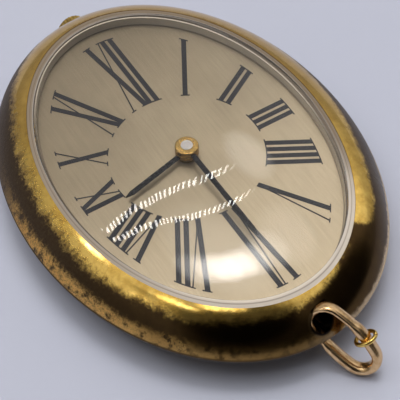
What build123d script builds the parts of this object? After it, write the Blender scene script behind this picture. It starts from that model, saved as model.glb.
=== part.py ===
"""Oval pendant watch: a hand-wound movement in a gilt case with a swinging bail.

Frame: +Z up out of the dial, +Y to twelve o'clock, origin on the flat of the back
below the hands. Millimetres and degrees.
"""

import math
import os

from build123d import *

os.makedirs("parts", exist_ok=True)

# Fits and overruns
running = 0.03          # radial clearance of a turning or sliding fit
seat = 0.02             # gap between parts that sit on each other
tooth_gap = 0.04        # clearance at the tips of meshing teeth
addendum_share = 0.9    # how far teeth reach past the pitch circle, in modules
overrun = 1.0           # how far cutters run past what they cut

# Case outline and rim
case_half_length = 20.0
case_half_width = 14.94
edge_height = 3.16      # level of the widest edge
lip_height = 6.12       # level of the rim's inner lip
rim_width = 3.0         # from the widest edge in to the lip
rim_bulge_share = 0.60  # how full the rim's curve is
ledge_reach = 0.60      # from the lip in to the dial opening
ledge_top = 5.22
cavity_depth_in = 3.22  # from the widest edge in to the cavity's wall
edge_round = 0.34
edge_drop = 0.40
edge_turn_shares = (0.25, 0.62)
back_seat_in = 2.62     # from the widest edge in to the back's seat
under_height = 1.0      # level where the rim's underside meets the back
seat_height = 1.48

# Dial
dial_top = 5.0
dial_thickness = 0.4
dial_hole_radius = 0.85
dial_foot_radius = 0.35
dial_foot_length = 1.3
dial_foot_place = 8.0
ink_height = 0.03
numeral_ring_inner = 6.56
numeral_margin_length = 1.35    # from the dial opening in to the numerals at twelve and six
numeral_margin_width = 1.29     # the same at three and nine
stroke_width = 0.43
hair_width = 0.11
stroke_pitch = 0.69
letter_gap = 0.08
serif_over = 0.17
serif_width = 0.10
v_half_width = 0.56
x_half_width = 0.62

# Crystal
crystal_wall = 0.50
crystal_rim_gap = 0.02
dome_base = 6.06
dome_rise = 1.75
dome_depth_share = 0.6  # how far below the dome's base its centre lies
crystal_crown_thickness = 0.70
reflector_height = 0.82
reflector_thickness = 0.13

# Back and seal
back_thickness = 0.7
back_edge_round = 0.55
back_rim_height = 1.38
back_rim_width = 0.6
gasket_thickness = 0.08
gasket_width = 0.36

# Movement
movement_radius = 9.7
plate_floor_low = 3.05
plate_floor_high = 4.15
plate_rim_low = 1.95
plate_rim_width = 1.1
holder_clearance = 0.04
pocket_gap = 0.10
bridge_low = 1.15
bridge_radius = 9.35
bridge_gap = 0.25
bridge_line_share = ((-0.10, -0.12), (-0.10, 0.34), (0.235, 0.52), (0.235, 1.05))
bridge_corner_share = 0.42
bridge_tail_share = 0.30
bridge_shift_share = 0.4
bridge_screw_angles = (122.0, 178.0, 205.0, 66.0, 8.0, 318.0, 236.0)
bridge_screw_in = 0.67  # from the plate's edge in to the screws' ring
bridge_screw_high = 3.0
bridge_screw_head = 0.52
bridge_screw_sink = 0.35
bridge_screw_turn = 37.0
window_room = 0.12      # round the stem's inner end
clamp_angles = (45.0, 225.0)
clamp_thickness = 0.2
clamp_screw_length = 1.5
clamp_screw_out = 1.6   # from the movement's edge out to the screw
clamp_grip = 0.22
clamp_width = 1.9
clamp_length = 2.6
clamp_screw_head = 0.59
dial_screw_radius = 0.25
dial_screw_height = 3.75
jewel_radius = 0.5
jewel_thickness = 0.3
pivot_radius = 0.11
arbor_radius = 0.24
thin_arbor_radius = 0.19

# Going train: number of teeth, module, and places of the arbors
barrel_teeth = 80
barrel_module = 0.1044
barrel_angle = 160.0
barrel_low = 2.35
barrel_high = 3.0
barrel_tooth_low = 2.72
barrel_wall = 0.25
barrel_floor = 0.14
barrel_cover_thickness = 0.12
barrel_arbor_radius = 0.75
barrel_pivot_radius = 0.33
barrel_pivot_length = 0.6
ratchet_square = 0.46
ratchet_screw_radius = 0.15
ratchet_screw_turn = 25.0
spring_strip = 0.11
spring_turns = 7
centre_pinion_teeth = 10
centre_pinion_low = 2.70
centre_pinion_high = 3.02
centre_teeth = 64
centre_module = 0.09
centre_low = 2.0
third_angle = 35.0
third_pinion_teeth = 8
third_teeth = 60
third_module = 0.085
third_low = 2.45
fourth_angle = -50.0
fourth_pinion_teeth = 8
fourth_teeth = 60
fourth_module = 0.08
fourth_low = 2.83
escape_angle = -110.0
escape_pinion_teeth = 6
escape_teeth = 15
escape_radius = 1.9
escape_low = 2.3
wheel_thickness = 0.17
wheel_rim = 0.30
wheel_hub = 0.62
wheel_arm = 0.20
wheel_bore = 0.12
escape_thickness = 0.14
escape_root_share = 0.80
escape_heel_share = 0.99
escape_tooth_shares = (0.42, 0.58, 0.62)
escape_rim = 0.21
escape_hub = 0.50
escape_arms = 4
fork_distance = 2.3
fork_angle = 208.0
fork_bar = 0.2
fork_notch = 0.17
fork_hub_radius = 0.31
pallet_arm = 1.05
pallet_spread = 74.0
pallet_bridge_radius = 0.55
pallet_bridge_reach = 4.2
pallet_bridge_angle = -75.0
pallet_bridge_low = 1.95
pallet_bridge_thickness = 0.22
pallet_pillar_radius = 0.44
stone_length = 0.42
stone_width = 0.16
stone_height = 0.12
stone_lean = 55.0
balance_distance = 5.23
balance_radius = 3.35
balance_rim_width = 0.38
balance_low = 1.62
balance_thickness = 0.24
balance_arm_width = 0.36
balance_arm_turn = 20.0
staff_pivot_radius = 0.08
staff_foot_radius = 0.17
staff_end_gap = 0.06
roller_radius = 0.55
roller_low = 2.30
roller_thickness = 0.12
impulse_pin_radius = 0.07
impulse_pin_place = 0.42
hairspring_low = 1.46
hairspring_thickness = 0.08
hairspring_strip = 0.035
hairspring_turns = 9
hairspring_inner = 0.40
hairspring_outer = 1.95
stud_angle = 0.0
stud_radius = 0.16
cock_low = 0.86
cock_high = 1.28
cock_width = 2.6
cock_eye = 1.3
cock_foot_gap = 0.05
regulator_thickness = 0.10
regulator_ring = 0.85
regulator_length = 2.0
regulator_width = 0.22

# Motion work under the dial
motion_module = 0.1
cannon_teeth = 10
minute_teeth = 30
minute_pinion_teeth = 8
hour_teeth = 32
minute_angle = 63.3
motion_low = 4.17
motion_thickness = 0.16
cannon_radius = 0.50
cannon_leaf = 0.20
centre_arbor_radius = 0.30
hour_pipe_radius = 0.72
hour_pipe_share = 0.60  # how far up its hand's collar the hour pipe reaches
hour_wheel_low = 4.40
hour_wheel_high = 4.53
minute_post_radius = 0.18
hub_top = 6.38

# Hands
hour_hand_low = 5.60
minute_hand_low = 5.98
hand_thickness = 0.17
boss_radius = 1.0
boss_height = 0.42
boss_round = 0.14
hour_boss_drop = 0.15   # how far its collar reaches below the blade
minute_boss_drop = 0.06
hand_width = 0.44
hand_tip = 0.70
hand_facet_drop = 0.075
hand_facet_side = 0.185
hour_hand_reach = 6.9
minute_hand_reach = 10.5
hour_hand_turn = 257.0  # clockwise from twelve
minute_hand_turn = 179.3
hand_start = 0.80

# Winding work
stem_height = 2.1
stem_radius = 0.5
stem_inner_end = 5.85
stem_pilot_radius = 0.44    # the round length that the winding pinion turns on
stem_neck = (8.30, 8.56)    # the groove for the setting lever's pin
stem_neck_radius = 0.30
crown_radius = 1.35
crown_sunk = 0.50       # how far its inner end lies in from the case's end
crown_length = 1.25
crown_bore_depth = 0.4
crown_pull = 0.6
crown_flutes = 26
crown_flute_radius = 0.12
crown_flute_out_share = 0.35
crown_recess = 1.47
crown_recess_room = 0.15
tube_radius = 0.80
winding_pinion_teeth = 12
winding_pinion_radius = 0.95
winding_pinion_low = 7.32
winding_pinion_length = 0.86
winding_tooth_depth = 0.16
clutch_radius = 0.82
clutch_core_radius = 0.59
clutch_low = 6.42
clutch_length = 0.80
clutch_groove = 0.26
clutch_teeth = 8
clutch_tooth_depth = 0.10
keyless_low = 4.17      # level of the setting lever and the yoke
keyless_thickness = 0.18
keyless_pin_radius = 0.11
slot_room = 0.30
clutch_travel = 0.35
keyless_post_radius = 0.24
keyless_post_head = 0.42
setting_lever_place = (2.6, 7.35)
setting_lever_reach = 3.06
lever_room = 0.75       # how far the lever's recess reaches into the plate's rim
yoke_place = (-2.9, 5.6)
setting_place = (1.1, 4.58)
setting_teeth = 26
setting_drive_module = 0.124
setting_drive_low = 2.75
setting_drive_thickness = 0.2
setting_arbor_radius = 0.35
stem_square = 0.62
crown_wheel_teeth = 28
upright_outer = 2.22    # the ring of upright teeth on the crown wheel
upright_inner = 1.86
upright_height = 0.14
crown_wheel_low = 0.87
crown_core_radius = 0.55
crown_screw_overlap = 0.35
crown_screw_turn = 70.0
click_wheel_thickness = 0.26
ratchet_teeth = 45
ratchet_module = 0.16
click_distance = 7.3
click_angle = 196.0
click_body_radius = 0.42
click_pin_radius = 0.22
click_reach = 1.0
click_nose_half = 0.11
click_lead = -38.0
click_wire_radius = 0.09
click_spring_gap = 0.055
click_spring_runs = (1.3, 1.2)
click_spring_angles = (250.0, 300.0)
screw_head_low = 0.78
screw_head_radius = 0.62
screw_shank_radius = 0.34
slot_width = 0.12
slot_depth = 0.12

# Bail and jump ring
bail_hole_radius = 0.92
bail_hole_side = 0.41   # the middle of its mouth on the rim: to the side
bail_hole_in = 0.88     # in from the case's end
bail_hole_height = 4.60
bail_hole_lean = 30.0   # from upright, its foot towards the dial
bail_hole_depth = 1.5
bail_half_length = 3.315
bail_half_width = 1.504
bail_end_radius = 1.25
bail_thickness = 0.50
bail_width = 1.07
bail_yaw = 26.8         # swing to the side, about +Z
bail_dip = 39.5         # tip below the horizontal
bail_roll = 24.2        # lean about its own length
bail_hinge_side = 0.88  # where its inner end turns: to the side
bail_hinge_in = 0.94    # in from the case's end
bail_hinge_height = 4.32
bail_swing = 14.0
bail_swing_steps = 3    # positions each side of rest that its slot is cut for
bail_clearance = 0.07
bail_edge_round = 0.21
jump_ring_radius = 0.82
jump_wire_radius = 0.165
jump_place = 5.2        # where it sits along the bail's side, as an angle of the side's arc
jump_tilt = 9.0
jump_split = 0.05


def save(part, name):
    """Write one sub-part to its own file."""
    export_step(part, f"parts/{name}.step")


def at(distance, angle):
    """A point in plan, at a distance and an angle from the hands' axis."""
    return (distance * math.cos(math.radians(angle)), distance * math.sin(math.radians(angle)))


def step_from(point, distance, angle):
    """A point in plan, a distance away from another."""
    dx, dy = at(distance, angle)
    return (point[0] + dx, point[1] + dy)


def rod(place, radius, low, high):
    """A round bar along Z."""
    return Pos(place[0], place[1], low) * extrude(Circle(radius), high - low)


def rod_y(radius, start, end, height=stem_height):
    """A round bar along +Y on the winding stem's line."""
    return Plane((0, start, height), x_dir=(1, 0, 0), z_dir=(0, 1, 0)) * extrude(
        Circle(radius), end - start
    )


def block(size_x, size_y, low, high, place=(0, 0)):
    """A rectangular block centred in plan."""
    return Pos(place[0], place[1], low) * extrude(Rectangle(size_x, size_y), high - low)


def oval(inset, low, high):
    """An oval slab, its wall a given distance in from the case's widest edge."""
    face = Ellipse(case_half_width - inset, case_half_length - inset)
    return Pos(0, 0, low) * extrude(face, high - low)


def tooth_outline(teeth, tip, root, root_share=0.28, tip_share=0.17, turn=0.0):
    """A wheel's toothed outline: flat-topped teeth with straight flanks."""
    pitch = 2 * math.pi / teeth
    points = []
    for tooth in range(teeth):
        middle = math.radians(turn) + tooth * pitch
        half_root = root_share * pitch
        half_tip = tip_share * pitch
        for radius, angle in (
            (root, middle - half_root),
            (tip, middle - half_tip),
            (tip, middle + half_tip),
            (root, middle + half_root),
        ):
            points.append((radius * math.cos(angle), radius * math.sin(angle)))
    return make_face(Polyline(*points, close=True))


def gear(teeth, module, low, high, place, turn=0.0):
    """A toothed slab: its teeth reach a share of the module out, and one module and the tip gap in."""
    pitch_radius = teeth * module / 2
    tip = pitch_radius + module * addendum_share
    face = tooth_outline(teeth, tip, pitch_radius - module - tooth_gap, turn=turn)
    return Pos(place[0], place[1], low) * extrude(face, high - low)


def crossings(place, outer, low, high, arms, arm_width, hub):
    """The cut-outs between a wheel's arms."""
    ring = extrude(Circle(outer) - Circle(hub), high - low + 2 * overrun)
    for arm in range(arms):
        bar = Pos(outer / 2, 0, 0) * Box(outer, arm_width, 3 * (high - low + 2 * overrun))
        ring -= Rot(0, 0, arm * 360 / arms) * bar
    return Pos(place[0], place[1], low - overrun) * ring


def spoked_wheel(teeth, module, low, place, bore, arms=5, turn=0.0):
    """A thin train wheel with arms."""
    high = low + wheel_thickness
    root = teeth * module / 2 - module
    wheel = gear(teeth, module, low, high, place, turn)
    wheel -= crossings(place, root - wheel_rim, low, high, arms, wheel_arm, wheel_hub)
    return wheel - rod(place, bore, low - overrun, high + overrun)


def arbor(place, low_bearing, high_bearing, shoulder_low, shoulder_high, radius=arbor_radius):
    """A turned arbor with a thin pivot at each end."""
    body = rod(place, pivot_radius, low_bearing, high_bearing)
    return body + rod(place, radius, shoulder_low, shoulder_high)


def jewel(place, low, hole=pivot_radius):
    """A ring jewel with its pivot hole."""
    ring = rod(place, jewel_radius, low, low + jewel_thickness)
    return ring - rod(place, hole + running, low - overrun, low + jewel_thickness + overrun)


def slotted_screw(place, head_low, shank_high, head_high, head=screw_head_radius,
                  shank=screw_shank_radius, turn=0.0):
    """A cheese-head screw put in from below, its slot in the low face."""
    screw = rod(place, head, head_low, head_high) + rod(place, shank, head_low, shank_high)
    slot = Box(3 * head, slot_width, 2 * slot_depth)
    return screw - Pos(place[0], place[1], head_low) * Rot(0, 0, turn) * slot


def spiral_strip(place, inner, outer, turns, strip, low, high):
    """A flat spiral spring of half-circle arcs that grow turn by turn."""
    halves = int(turns * 2)
    growth = (outer - inner) / halves
    edges = []
    x = inner
    sign = 1
    for half in range(halves):
        radius = inner + growth * (half + 0.5)
        end = x - sign * 2 * radius
        middle_x = (x + end) / 2
        top = (middle_x, sign * radius)
        edges.append(ThreePointArc((x, 0), top, (end, 0)))
        x = end
        sign = -sign
    path = Wire(edges)
    start_face = Plane(
        origin=(inner, 0, 0), x_dir=(1, 0, 0), z_dir=(0, 1, 0)
    ) * Rectangle(strip, high - low)
    strip_solid = sweep(sections=start_face, path=path)
    return Pos(place[0], place[1], (low + high) / 2) * strip_solid


# Places that several pieces share
centre = (0.0, 0.0)
opening_in = rim_width + ledge_reach
numeral_outer_length = case_half_length - opening_in - numeral_margin_length
numeral_outer_width = case_half_width - opening_in - numeral_margin_width
crown_inner_end = case_half_length - crown_sunk
bail_hole = (bail_hole_side, bail_hole_in - case_half_length, bail_hole_height)
bail_hinge = (bail_hinge_side, bail_hinge_in - case_half_length, bail_hinge_height)
clamp_screw_places = [at(movement_radius + clamp_screw_out, angle) for angle in clamp_angles]
bridge_screw_places = [at(movement_radius - bridge_screw_in, angle) for angle in bridge_screw_angles]
click_place = at(click_distance, click_angle)
barrel_place = at((barrel_teeth + centre_pinion_teeth) * barrel_module / 2, barrel_angle)
third_place = at((centre_teeth + third_pinion_teeth) * centre_module / 2, third_angle)
fourth_place = step_from(third_place, (third_teeth + fourth_pinion_teeth) * third_module / 2, fourth_angle)
escape_place = step_from(
    fourth_place, (fourth_teeth + escape_pinion_teeth) * fourth_module / 2, escape_angle
)
fork_place = step_from(escape_place, fork_distance, fork_angle)
barrel_radius = (barrel_teeth / 2 + 1) * barrel_module
balance_place = step_from(escape_place, balance_distance, fork_angle)
minute_place = at((cannon_teeth + minute_teeth) * motion_module / 2, minute_angle)
setting_line = math.degrees(
    math.atan2(minute_place[1] - setting_place[1], minute_place[0] - setting_place[0])
)
ratchet_reach = (ratchet_teeth + crown_wheel_teeth) * ratchet_module / 2
crown_wheel_place = (
    0.0,
    barrel_place[1] + math.sqrt(ratchet_reach**2 - barrel_place[0] ** 2),
)
ratchet_line = math.degrees(math.atan2(crown_wheel_place[1] - barrel_place[1], -barrel_place[0]))
plate_rim_inner = movement_radius - plate_rim_width
dial_low = dial_top - dial_thickness


def rim_face():
    """The section of the case's rim, drawn at its widest edge on the +X side."""
    rise = lip_height - edge_height
    middle = (-rim_width * (1 - rim_bulge_share), edge_height + rise * rim_bulge_share)
    lip = (-rim_width, lip_height)
    edge = (0, edge_height)
    under = (-edge_round, edge_height - edge_drop)
    in_share, down_share = edge_turn_shares
    turned_in = (-edge_round * in_share, edge_height - edge_drop * down_share)
    inside = rim_width + 2 * ledge_reach
    outline = [
        ThreePointArc(lip, middle, edge),
        ThreePointArc(edge, turned_in, under),
        Polyline(
            under,
            (-back_seat_in, under_height),
            (-inside, under_height),
            (-inside, lip_height),
            lip,
        ),
    ]
    return make_face(outline)


def bail_frame():
    """The bail's own plane: X along its length, outwards, and Z across its band."""
    return (
        Pos(*bail_hinge)
        * Rot(0, 0, bail_yaw)
        * Rot(bail_dip, 0, 0)
        * Rot(0, bail_roll, 0)
        * Rot(0, 0, -90)
        * Rot(-90, 0, 0)
    )


def bail_side():
    """The radius of the bail's long side and how far its centre lies from the middle line."""
    reach = bail_half_length - bail_end_radius
    radius = (
        (reach**2 + bail_half_width**2 - bail_end_radius**2) / (2 * (bail_half_width - bail_end_radius))
    )
    return reach, radius, radius - bail_half_width


def bail_outline(grow=0.0):
    """The bail's oval, its inner end's centre at the origin, as four tangent arcs."""
    reach, side_radius, offset = bail_side()
    lean = math.atan2(offset, reach)
    end = bail_end_radius + grow
    side = side_radius + grow
    share_x = math.cos(lean)
    share_y = math.sin(lean)
    far = 2 * reach
    low_near = (-end * share_x, -end * share_y)
    high_near = (-end * share_x, end * share_y)
    high_far = (far + end * share_x, end * share_y)
    low_far = (far + end * share_x, -end * share_y)
    top = (reach, side - offset)
    bottom = (reach, offset - side)
    return make_face(
        [
            ThreePointArc(low_near, (-end, 0), high_near),
            ThreePointArc(high_near, top, high_far),
            ThreePointArc(high_far, (far + end, 0), low_far),
            ThreePointArc(low_far, bottom, low_near),
        ]
    )


def bail_band(clearance=0.0):
    """The flat band bent into the bail's oval, in its own plane."""
    half = bail_thickness / 2 + clearance
    width = bail_width + 2 * clearance
    band = extrude(bail_outline(half) - bail_outline(-half), width)
    return Pos(0, 0, -width / 2) * band


def case_shell():
    """Rim, lip, dial ledge and movement cavity in one swept shell."""
    section = Plane.XZ * Pos(case_half_width, 0) * rim_face()
    path = Wire(Edge.make_ellipse(case_half_width, case_half_length))
    shell = sweep(sections=section, path=path)
    shell -= oval(back_seat_in, under_height - overrun, seat_height)
    shell -= oval(cavity_depth_in, under_height - overrun, dial_top + seat)
    shell -= oval(opening_in, under_height, lip_height + overrun)
    shell -= oval(rim_width, ledge_top, lip_height + overrun)
    shell -= Pos(*bail_hole) * Rot(bail_hole_lean, 0, 0) * rod(
        centre, bail_hole_radius, -bail_hole_depth, overrun
    )
    for step in range(-bail_swing_steps, bail_swing_steps + 1):
        swing = bail_swing * step / bail_swing_steps
        shell -= bail_frame() * Rot(0, 0, swing) * bail_band(bail_clearance)
    shell -= rod_y(tube_radius, case_half_length - cavity_depth_in - overrun, case_half_length)
    shell -= rod_y(crown_recess, crown_inner_end - crown_recess_room, case_half_length + overrun)
    return shell


def case_back():
    """The shallow pan that closes the movement cavity, pressed in from below."""
    wall = back_seat_in + seat
    pan = oval(wall, 0, back_rim_height)
    rim_edges = pan.edges().group_by(Axis.Z)[0]
    pan = fillet(rim_edges, back_edge_round)
    return pan - oval(wall + back_rim_width, back_thickness, back_rim_height + overrun)


def back_gasket():
    """The flat seal squeezed between the back's rim and its seat."""
    outer = back_seat_in + seat
    top = seat_height
    low = top - gasket_thickness
    return oval(outer, low, top) - oval(outer + gasket_width, low - overrun, top + overrun)


def dome(inset, base, rise):
    """A shallow ellipsoid cap over an oval."""
    depth = rise / (1 - dome_depth_share)
    spread = math.sqrt(1 - dome_depth_share**2)
    across = (case_half_width - inset) / spread
    along = (case_half_length - inset) / spread
    whole = scale(Sphere(1), by=(across, along, depth))
    whole = Pos(0, 0, base - depth * dome_depth_share) * whole
    keep = Pos(0, 0, base) * extrude(Rectangle(2 * across, 2 * along), rise + overrun)
    return whole & keep


def crystal():
    """The domed acrylic crystal with its upright rim."""
    inset = rim_width + crystal_rim_gap
    low = ledge_top + seat
    outer = oval(inset, low, dome_base) + dome(inset, dome_base, dome_rise)
    inner_inset = inset + crystal_wall
    inner = oval(inner_inset, low - overrun, dome_base)
    inner += dome(inner_inset, dome_base, dome_rise - crystal_crown_thickness)
    return outer - inner


def reflector_ring():
    """The thin bright ring that stands on the dial inside the crystal's rim."""
    outer = opening_in + seat
    low = dial_top + seat
    high = low + reflector_height
    ring = oval(outer, low, high)
    return ring - oval(outer + reflector_thickness, low - overrun, high + overrun)


def crown_tube():
    """The tube in the case wall that guides the winding stem."""
    start = case_half_length - cavity_depth_in
    tube = rod_y(tube_radius - seat, start, crown_inner_end - 2 * seat)
    bore = rod_y(stem_radius + running, start - overrun, case_half_length)
    shell_side = oval(cavity_depth_in + seat, 0, lip_height)
    back_side = oval(back_seat_in - seat, 0, seat_height + seat)
    return tube - bore - shell_side - back_side


def movement_holder():
    """The oval frame between the round movement and the case's cavity."""
    low = plate_rim_low
    holder = oval(cavity_depth_in + holder_clearance, low, dial_low)
    holder -= rod(centre, movement_radius + holder_clearance, low - overrun, dial_low + overrun)
    holder -= rod_y(stem_radius + 4 * running, movement_radius - overrun, case_half_length)
    for screw_place in clamp_screw_places:
        holder -= rod(screw_place, screw_shank_radius + seat, low - overrun, low + clamp_screw_length)
    return holder


def case_clamps():
    """Two tabs that hold the movement's edge against the holder."""
    tabs = []
    high = plate_rim_low - seat / 2
    inner = movement_radius - clamp_grip
    for angle in clamp_angles:
        tab = Pos(inner + clamp_length / 2, 0, high - clamp_thickness / 2) * Box(
            clamp_length, clamp_width, clamp_thickness
        )
        tab = Rot(0, 0, angle) * tab
        hole = rod(at(movement_radius + clamp_screw_out, angle), screw_shank_radius + running, 0, dial_top)
        tabs.append(tab - hole)
    return Compound(children=tabs)


def clamp_screws():
    """The two screws through the clamps."""
    head_high = plate_rim_low - clamp_thickness - seat
    screws = []
    for place in clamp_screw_places:
        screw = slotted_screw(
            place, head_high - clamp_thickness, plate_rim_low + clamp_screw_length - 2 * seat,
            head_high, head=clamp_screw_head,
        )
        screws.append(screw)
    return Compound(children=screws)


def dial():
    """The oval dial plate with its two feet."""
    plate = oval(cavity_depth_in + holder_clearance, dial_low, dial_top)
    plate -= rod(centre, dial_hole_radius, dial_low - overrun, dial_top + overrun)
    for side in (-1, 1):
        plate += rod((side * dial_foot_place, 0), dial_foot_radius, dial_low - dial_foot_length, dial_low)
    return plate


def ray_length(half_width, half_length, angle):
    """How far an oval reaches from its centre at an angle from twelve."""
    across = math.sin(math.radians(angle)) / half_width
    along = math.cos(math.radians(angle)) / half_length
    return 1 / math.hypot(across, along)


def stroke(outer_side, inner_side, width):
    """One straight stroke from beyond the numeral ring to within it, pointing up."""
    low = numeral_ring_inner - overrun
    high = numeral_outer_length + overrun
    slope = (outer_side - inner_side) / (numeral_outer_length - numeral_ring_inner)
    half = width / 2

    def side_at(radius):
        return inner_side + slope * (radius - numeral_ring_inner)

    return make_face(
        Polyline(
            (side_at(low) - half, low), (side_at(low) + half, low),
            (side_at(high) + half, high), (side_at(high) - half, high),
            close=True,
        )
    )


def leaning_stroke(outer_side, inner_side, width, reach):
    """A stroke whose outer end is met where the ring's outer oval lies for its hour."""
    span = reach - numeral_ring_inner
    full = numeral_outer_length - numeral_ring_inner
    far_side = inner_side + (outer_side - inner_side) * full / span
    return stroke(far_side, inner_side, width)


def numeral_strokes(letters):
    """Left to right, the strokes of a numeral: outer side, inner side, width, kind."""
    widths = {"I": stroke_pitch, "V": 2 * v_half_width + letter_gap, "X": 2 * x_half_width + letter_gap}
    total = sum(widths[letter] for letter in letters)
    place = -total / 2
    strokes = []
    for letter in letters:
        middle = place + widths[letter] / 2
        if letter == "I":
            strokes.append((middle, middle, stroke_width, "I"))
        elif letter == "V":
            strokes.append((middle - v_half_width, middle, stroke_width, "V"))
            strokes.append((middle + v_half_width, middle, hair_width, "V"))
        else:
            strokes.append((middle - x_half_width, middle + x_half_width, stroke_width, "X"))
            strokes.append((middle + x_half_width, middle - x_half_width, hair_width, "X"))
        place += widths[letter]
    return strokes


def numeral(letters, hour):
    """One printed numeral, its strokes stretched between the ring's two outlines."""
    turn = 30.0 * hour
    reach = ray_length(numeral_outer_width, numeral_outer_length, turn)
    outer_oval = Rot(0, 0, turn) * Ellipse(numeral_outer_width, numeral_outer_length)
    band = outer_oval - Circle(numeral_ring_inner)
    serif_outer = outer_oval - Rot(0, 0, turn) * Ellipse(
        numeral_outer_width - serif_width, numeral_outer_length - serif_width
    )
    serif_inner = Circle(numeral_ring_inner + serif_width) - Circle(numeral_ring_inner)
    strokes = numeral_strokes(letters)
    marks = None
    for outer_side, inner_side, width, kind in strokes:
        mark = leaning_stroke(outer_side, inner_side, width, reach) & band
        marks = mark if marks is None else marks + mark
        foot = width + 2 * serif_over
        marks += leaning_stroke(outer_side, outer_side, foot, reach) & serif_outer
        if kind != "V":
            marks += leaning_stroke(inner_side, inner_side, foot, reach) & serif_inner
    solid = extrude(marks, ink_height)
    return Pos(0, 0, dial_top) * Rot(0, 0, -turn) * solid


def numerals():
    """The twelve printed numerals, each its own thin layer of ink."""
    names = ("XII", "I", "II", "III", "IIII", "V", "VI", "VII", "VIII", "IX", "X", "XI")
    return Compound(children=[numeral(letters, hour) for hour, letters in enumerate(names)])


def hand_blade(reach, low, turn, root):
    """A faceted baton with a ridge along its top and a chisel tip."""
    half = hand_width / 2
    outline = Polyline(
        (-half, root), (half, root), (half, reach - hand_tip), (0, reach), (-half, reach - hand_tip),
        close=True,
    )
    blade = Pos(0, 0, low) * extrude(make_face(outline), hand_thickness)
    ridge_edges = blade.edges().filter_by(Axis.Y).group_by(Axis.Z)[-1]
    blade = chamfer(ridge_edges, length=hand_facet_drop, length2=hand_facet_side)
    return Rot(0, 0, -turn) * blade


def hand_boss(low, inner):
    """The gilt collar that grips a hand's blade on its pipe."""
    collar = rod(centre, boss_radius, low, low + boss_height)
    top = collar.edges().filter_by(GeomType.CIRCLE).group_by(Axis.Z)[-1]
    collar = fillet(top, boss_round)
    return collar - rod(centre, inner, low - overrun, low + boss_height + overrun)


def pocket_for_blade(boss, blade):
    """Cut the blade's seat out of its boss."""
    return boss - blade


def balance_plan():
    """The round space that the balance needs, in plan."""
    return Pos(balance_place[0], balance_place[1]) * Circle(balance_radius + bridge_gap)


def main_plate():
    """The round plate that carries the train, open below for the wheels."""
    plate = rod(centre, movement_radius, plate_rim_low, dial_low - seat)
    floor_cut = rod(centre, plate_rim_inner, plate_rim_low - overrun, plate_floor_low)
    top_cut = rod(centre, plate_rim_inner, plate_floor_high, dial_low + overrun)
    plate -= floor_cut
    plate -= top_cut
    plate -= rod(centre, centre_arbor_radius + 3 * running, 0, dial_top)
    for place in (third_place, fourth_place, escape_place, fork_place, balance_place):
        plate -= rod(place, jewel_radius + seat / 2, plate_floor_low - overrun, dial_top)
    plate -= rod(barrel_place, barrel_radius + pocket_gap, plate_rim_low - overrun, plate_floor_low)
    plate -= rod(barrel_place, barrel_pivot_radius + running, plate_floor_low - overrun, dial_top)
    plate -= rod(setting_place, setting_arbor_radius + running, plate_floor_low - overrun, dial_top)
    plate -= keyless_slots()
    plate -= lever_sweep()
    plate -= rod_y(stem_radius + 2 * running, plate_rim_inner - overrun, movement_radius + overrun)
    for side in (-1, 1):
        foot = (side * dial_foot_place, 0)
        plate -= rod(foot, dial_foot_radius + running, dial_low - dial_foot_length - seat, dial_top)
        plate -= dial_screw_line(side, dial_screw_radius + seat / 2)
    for place in bridge_screw_places:
        plate -= rod(place, screw_shank_radius, plate_rim_low - overrun, bridge_screw_high + seat)
    return plate


def keyless_slots():
    """The slots in the plate for the pins of the setting lever and the yoke."""
    turned = 2 * keyless_pin_radius + slot_room
    lever_run = block(turned + crown_pull, turned + crown_pull, stem_height, dial_top,
                      (crown_pull / 4, sum(stem_neck) / 2 + crown_pull / 2))
    yoke_run = block(turned + clutch_travel, turned + clutch_travel, stem_height, dial_top,
                     (clutch_travel / 4, clutch_low + (clutch_length - clutch_travel) / 2))
    return lever_run + yoke_run


def lever_sweep():
    """The recess in the plate's rim that the setting lever swings into."""
    swing = rod(setting_lever_place, setting_lever_reach, plate_floor_high, dial_top)
    return swing & rod(centre, plate_rim_inner + lever_room, plate_floor_high, dial_top)


def dial_screw_line(side, radius):
    """The path of a dial-foot screw, in from the plate's edge."""
    start = dial_foot_place + dial_foot_radius
    length = movement_radius - start
    plane = Plane((side * start, 0, dial_screw_height), x_dir=(0, 1, 0), z_dir=(side, 0, 0))
    return plane * extrude(Circle(radius), length)


def dial_foot_screws():
    """The two screws that pinch the dial's feet."""
    screws = []
    for side in (-1, 1):
        screw = dial_screw_line(side, dial_screw_radius)
        slot = Pos(side * movement_radius, 0, dial_screw_height) * Box(
            2 * slot_depth, 2 * dial_screw_radius + overrun, slot_width
        )
        screws.append(screw - slot)
    return Compound(children=screws)


def bridge(outline):
    """A bridge cut from the movement's round blank by an outline in plan."""
    face = make_face(Polyline(*outline, close=True)) & Circle(bridge_radius)
    face -= balance_plan()
    slab = Pos(0, 0, bridge_low) * extrude(face, plate_rim_low - bridge_low - seat / 2)
    for place in bridge_screw_places:
        slab -= rod(place, bridge_screw_head + running, bridge_low - overrun, bridge_low + bridge_screw_sink)
        slab -= rod(place, screw_shank_radius + running, bridge_low - overrun, dial_top)
    return slab


def upright_recess():
    """The ring-shaped groove in the bridges that clears the crown wheel's upright teeth."""
    high = bridge_low + upright_height
    ring = rod(crown_wheel_place, upright_outer + pocket_gap, bridge_low - overrun, high)
    return ring - rod(crown_wheel_place, upright_inner - pocket_gap, bridge_low - overrun, high)


def bridge_line():
    """The gap between the two bridges, from the middle out to the edge."""
    return [(movement_radius * x, movement_radius * y) for x, y in bridge_line_share]


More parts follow.
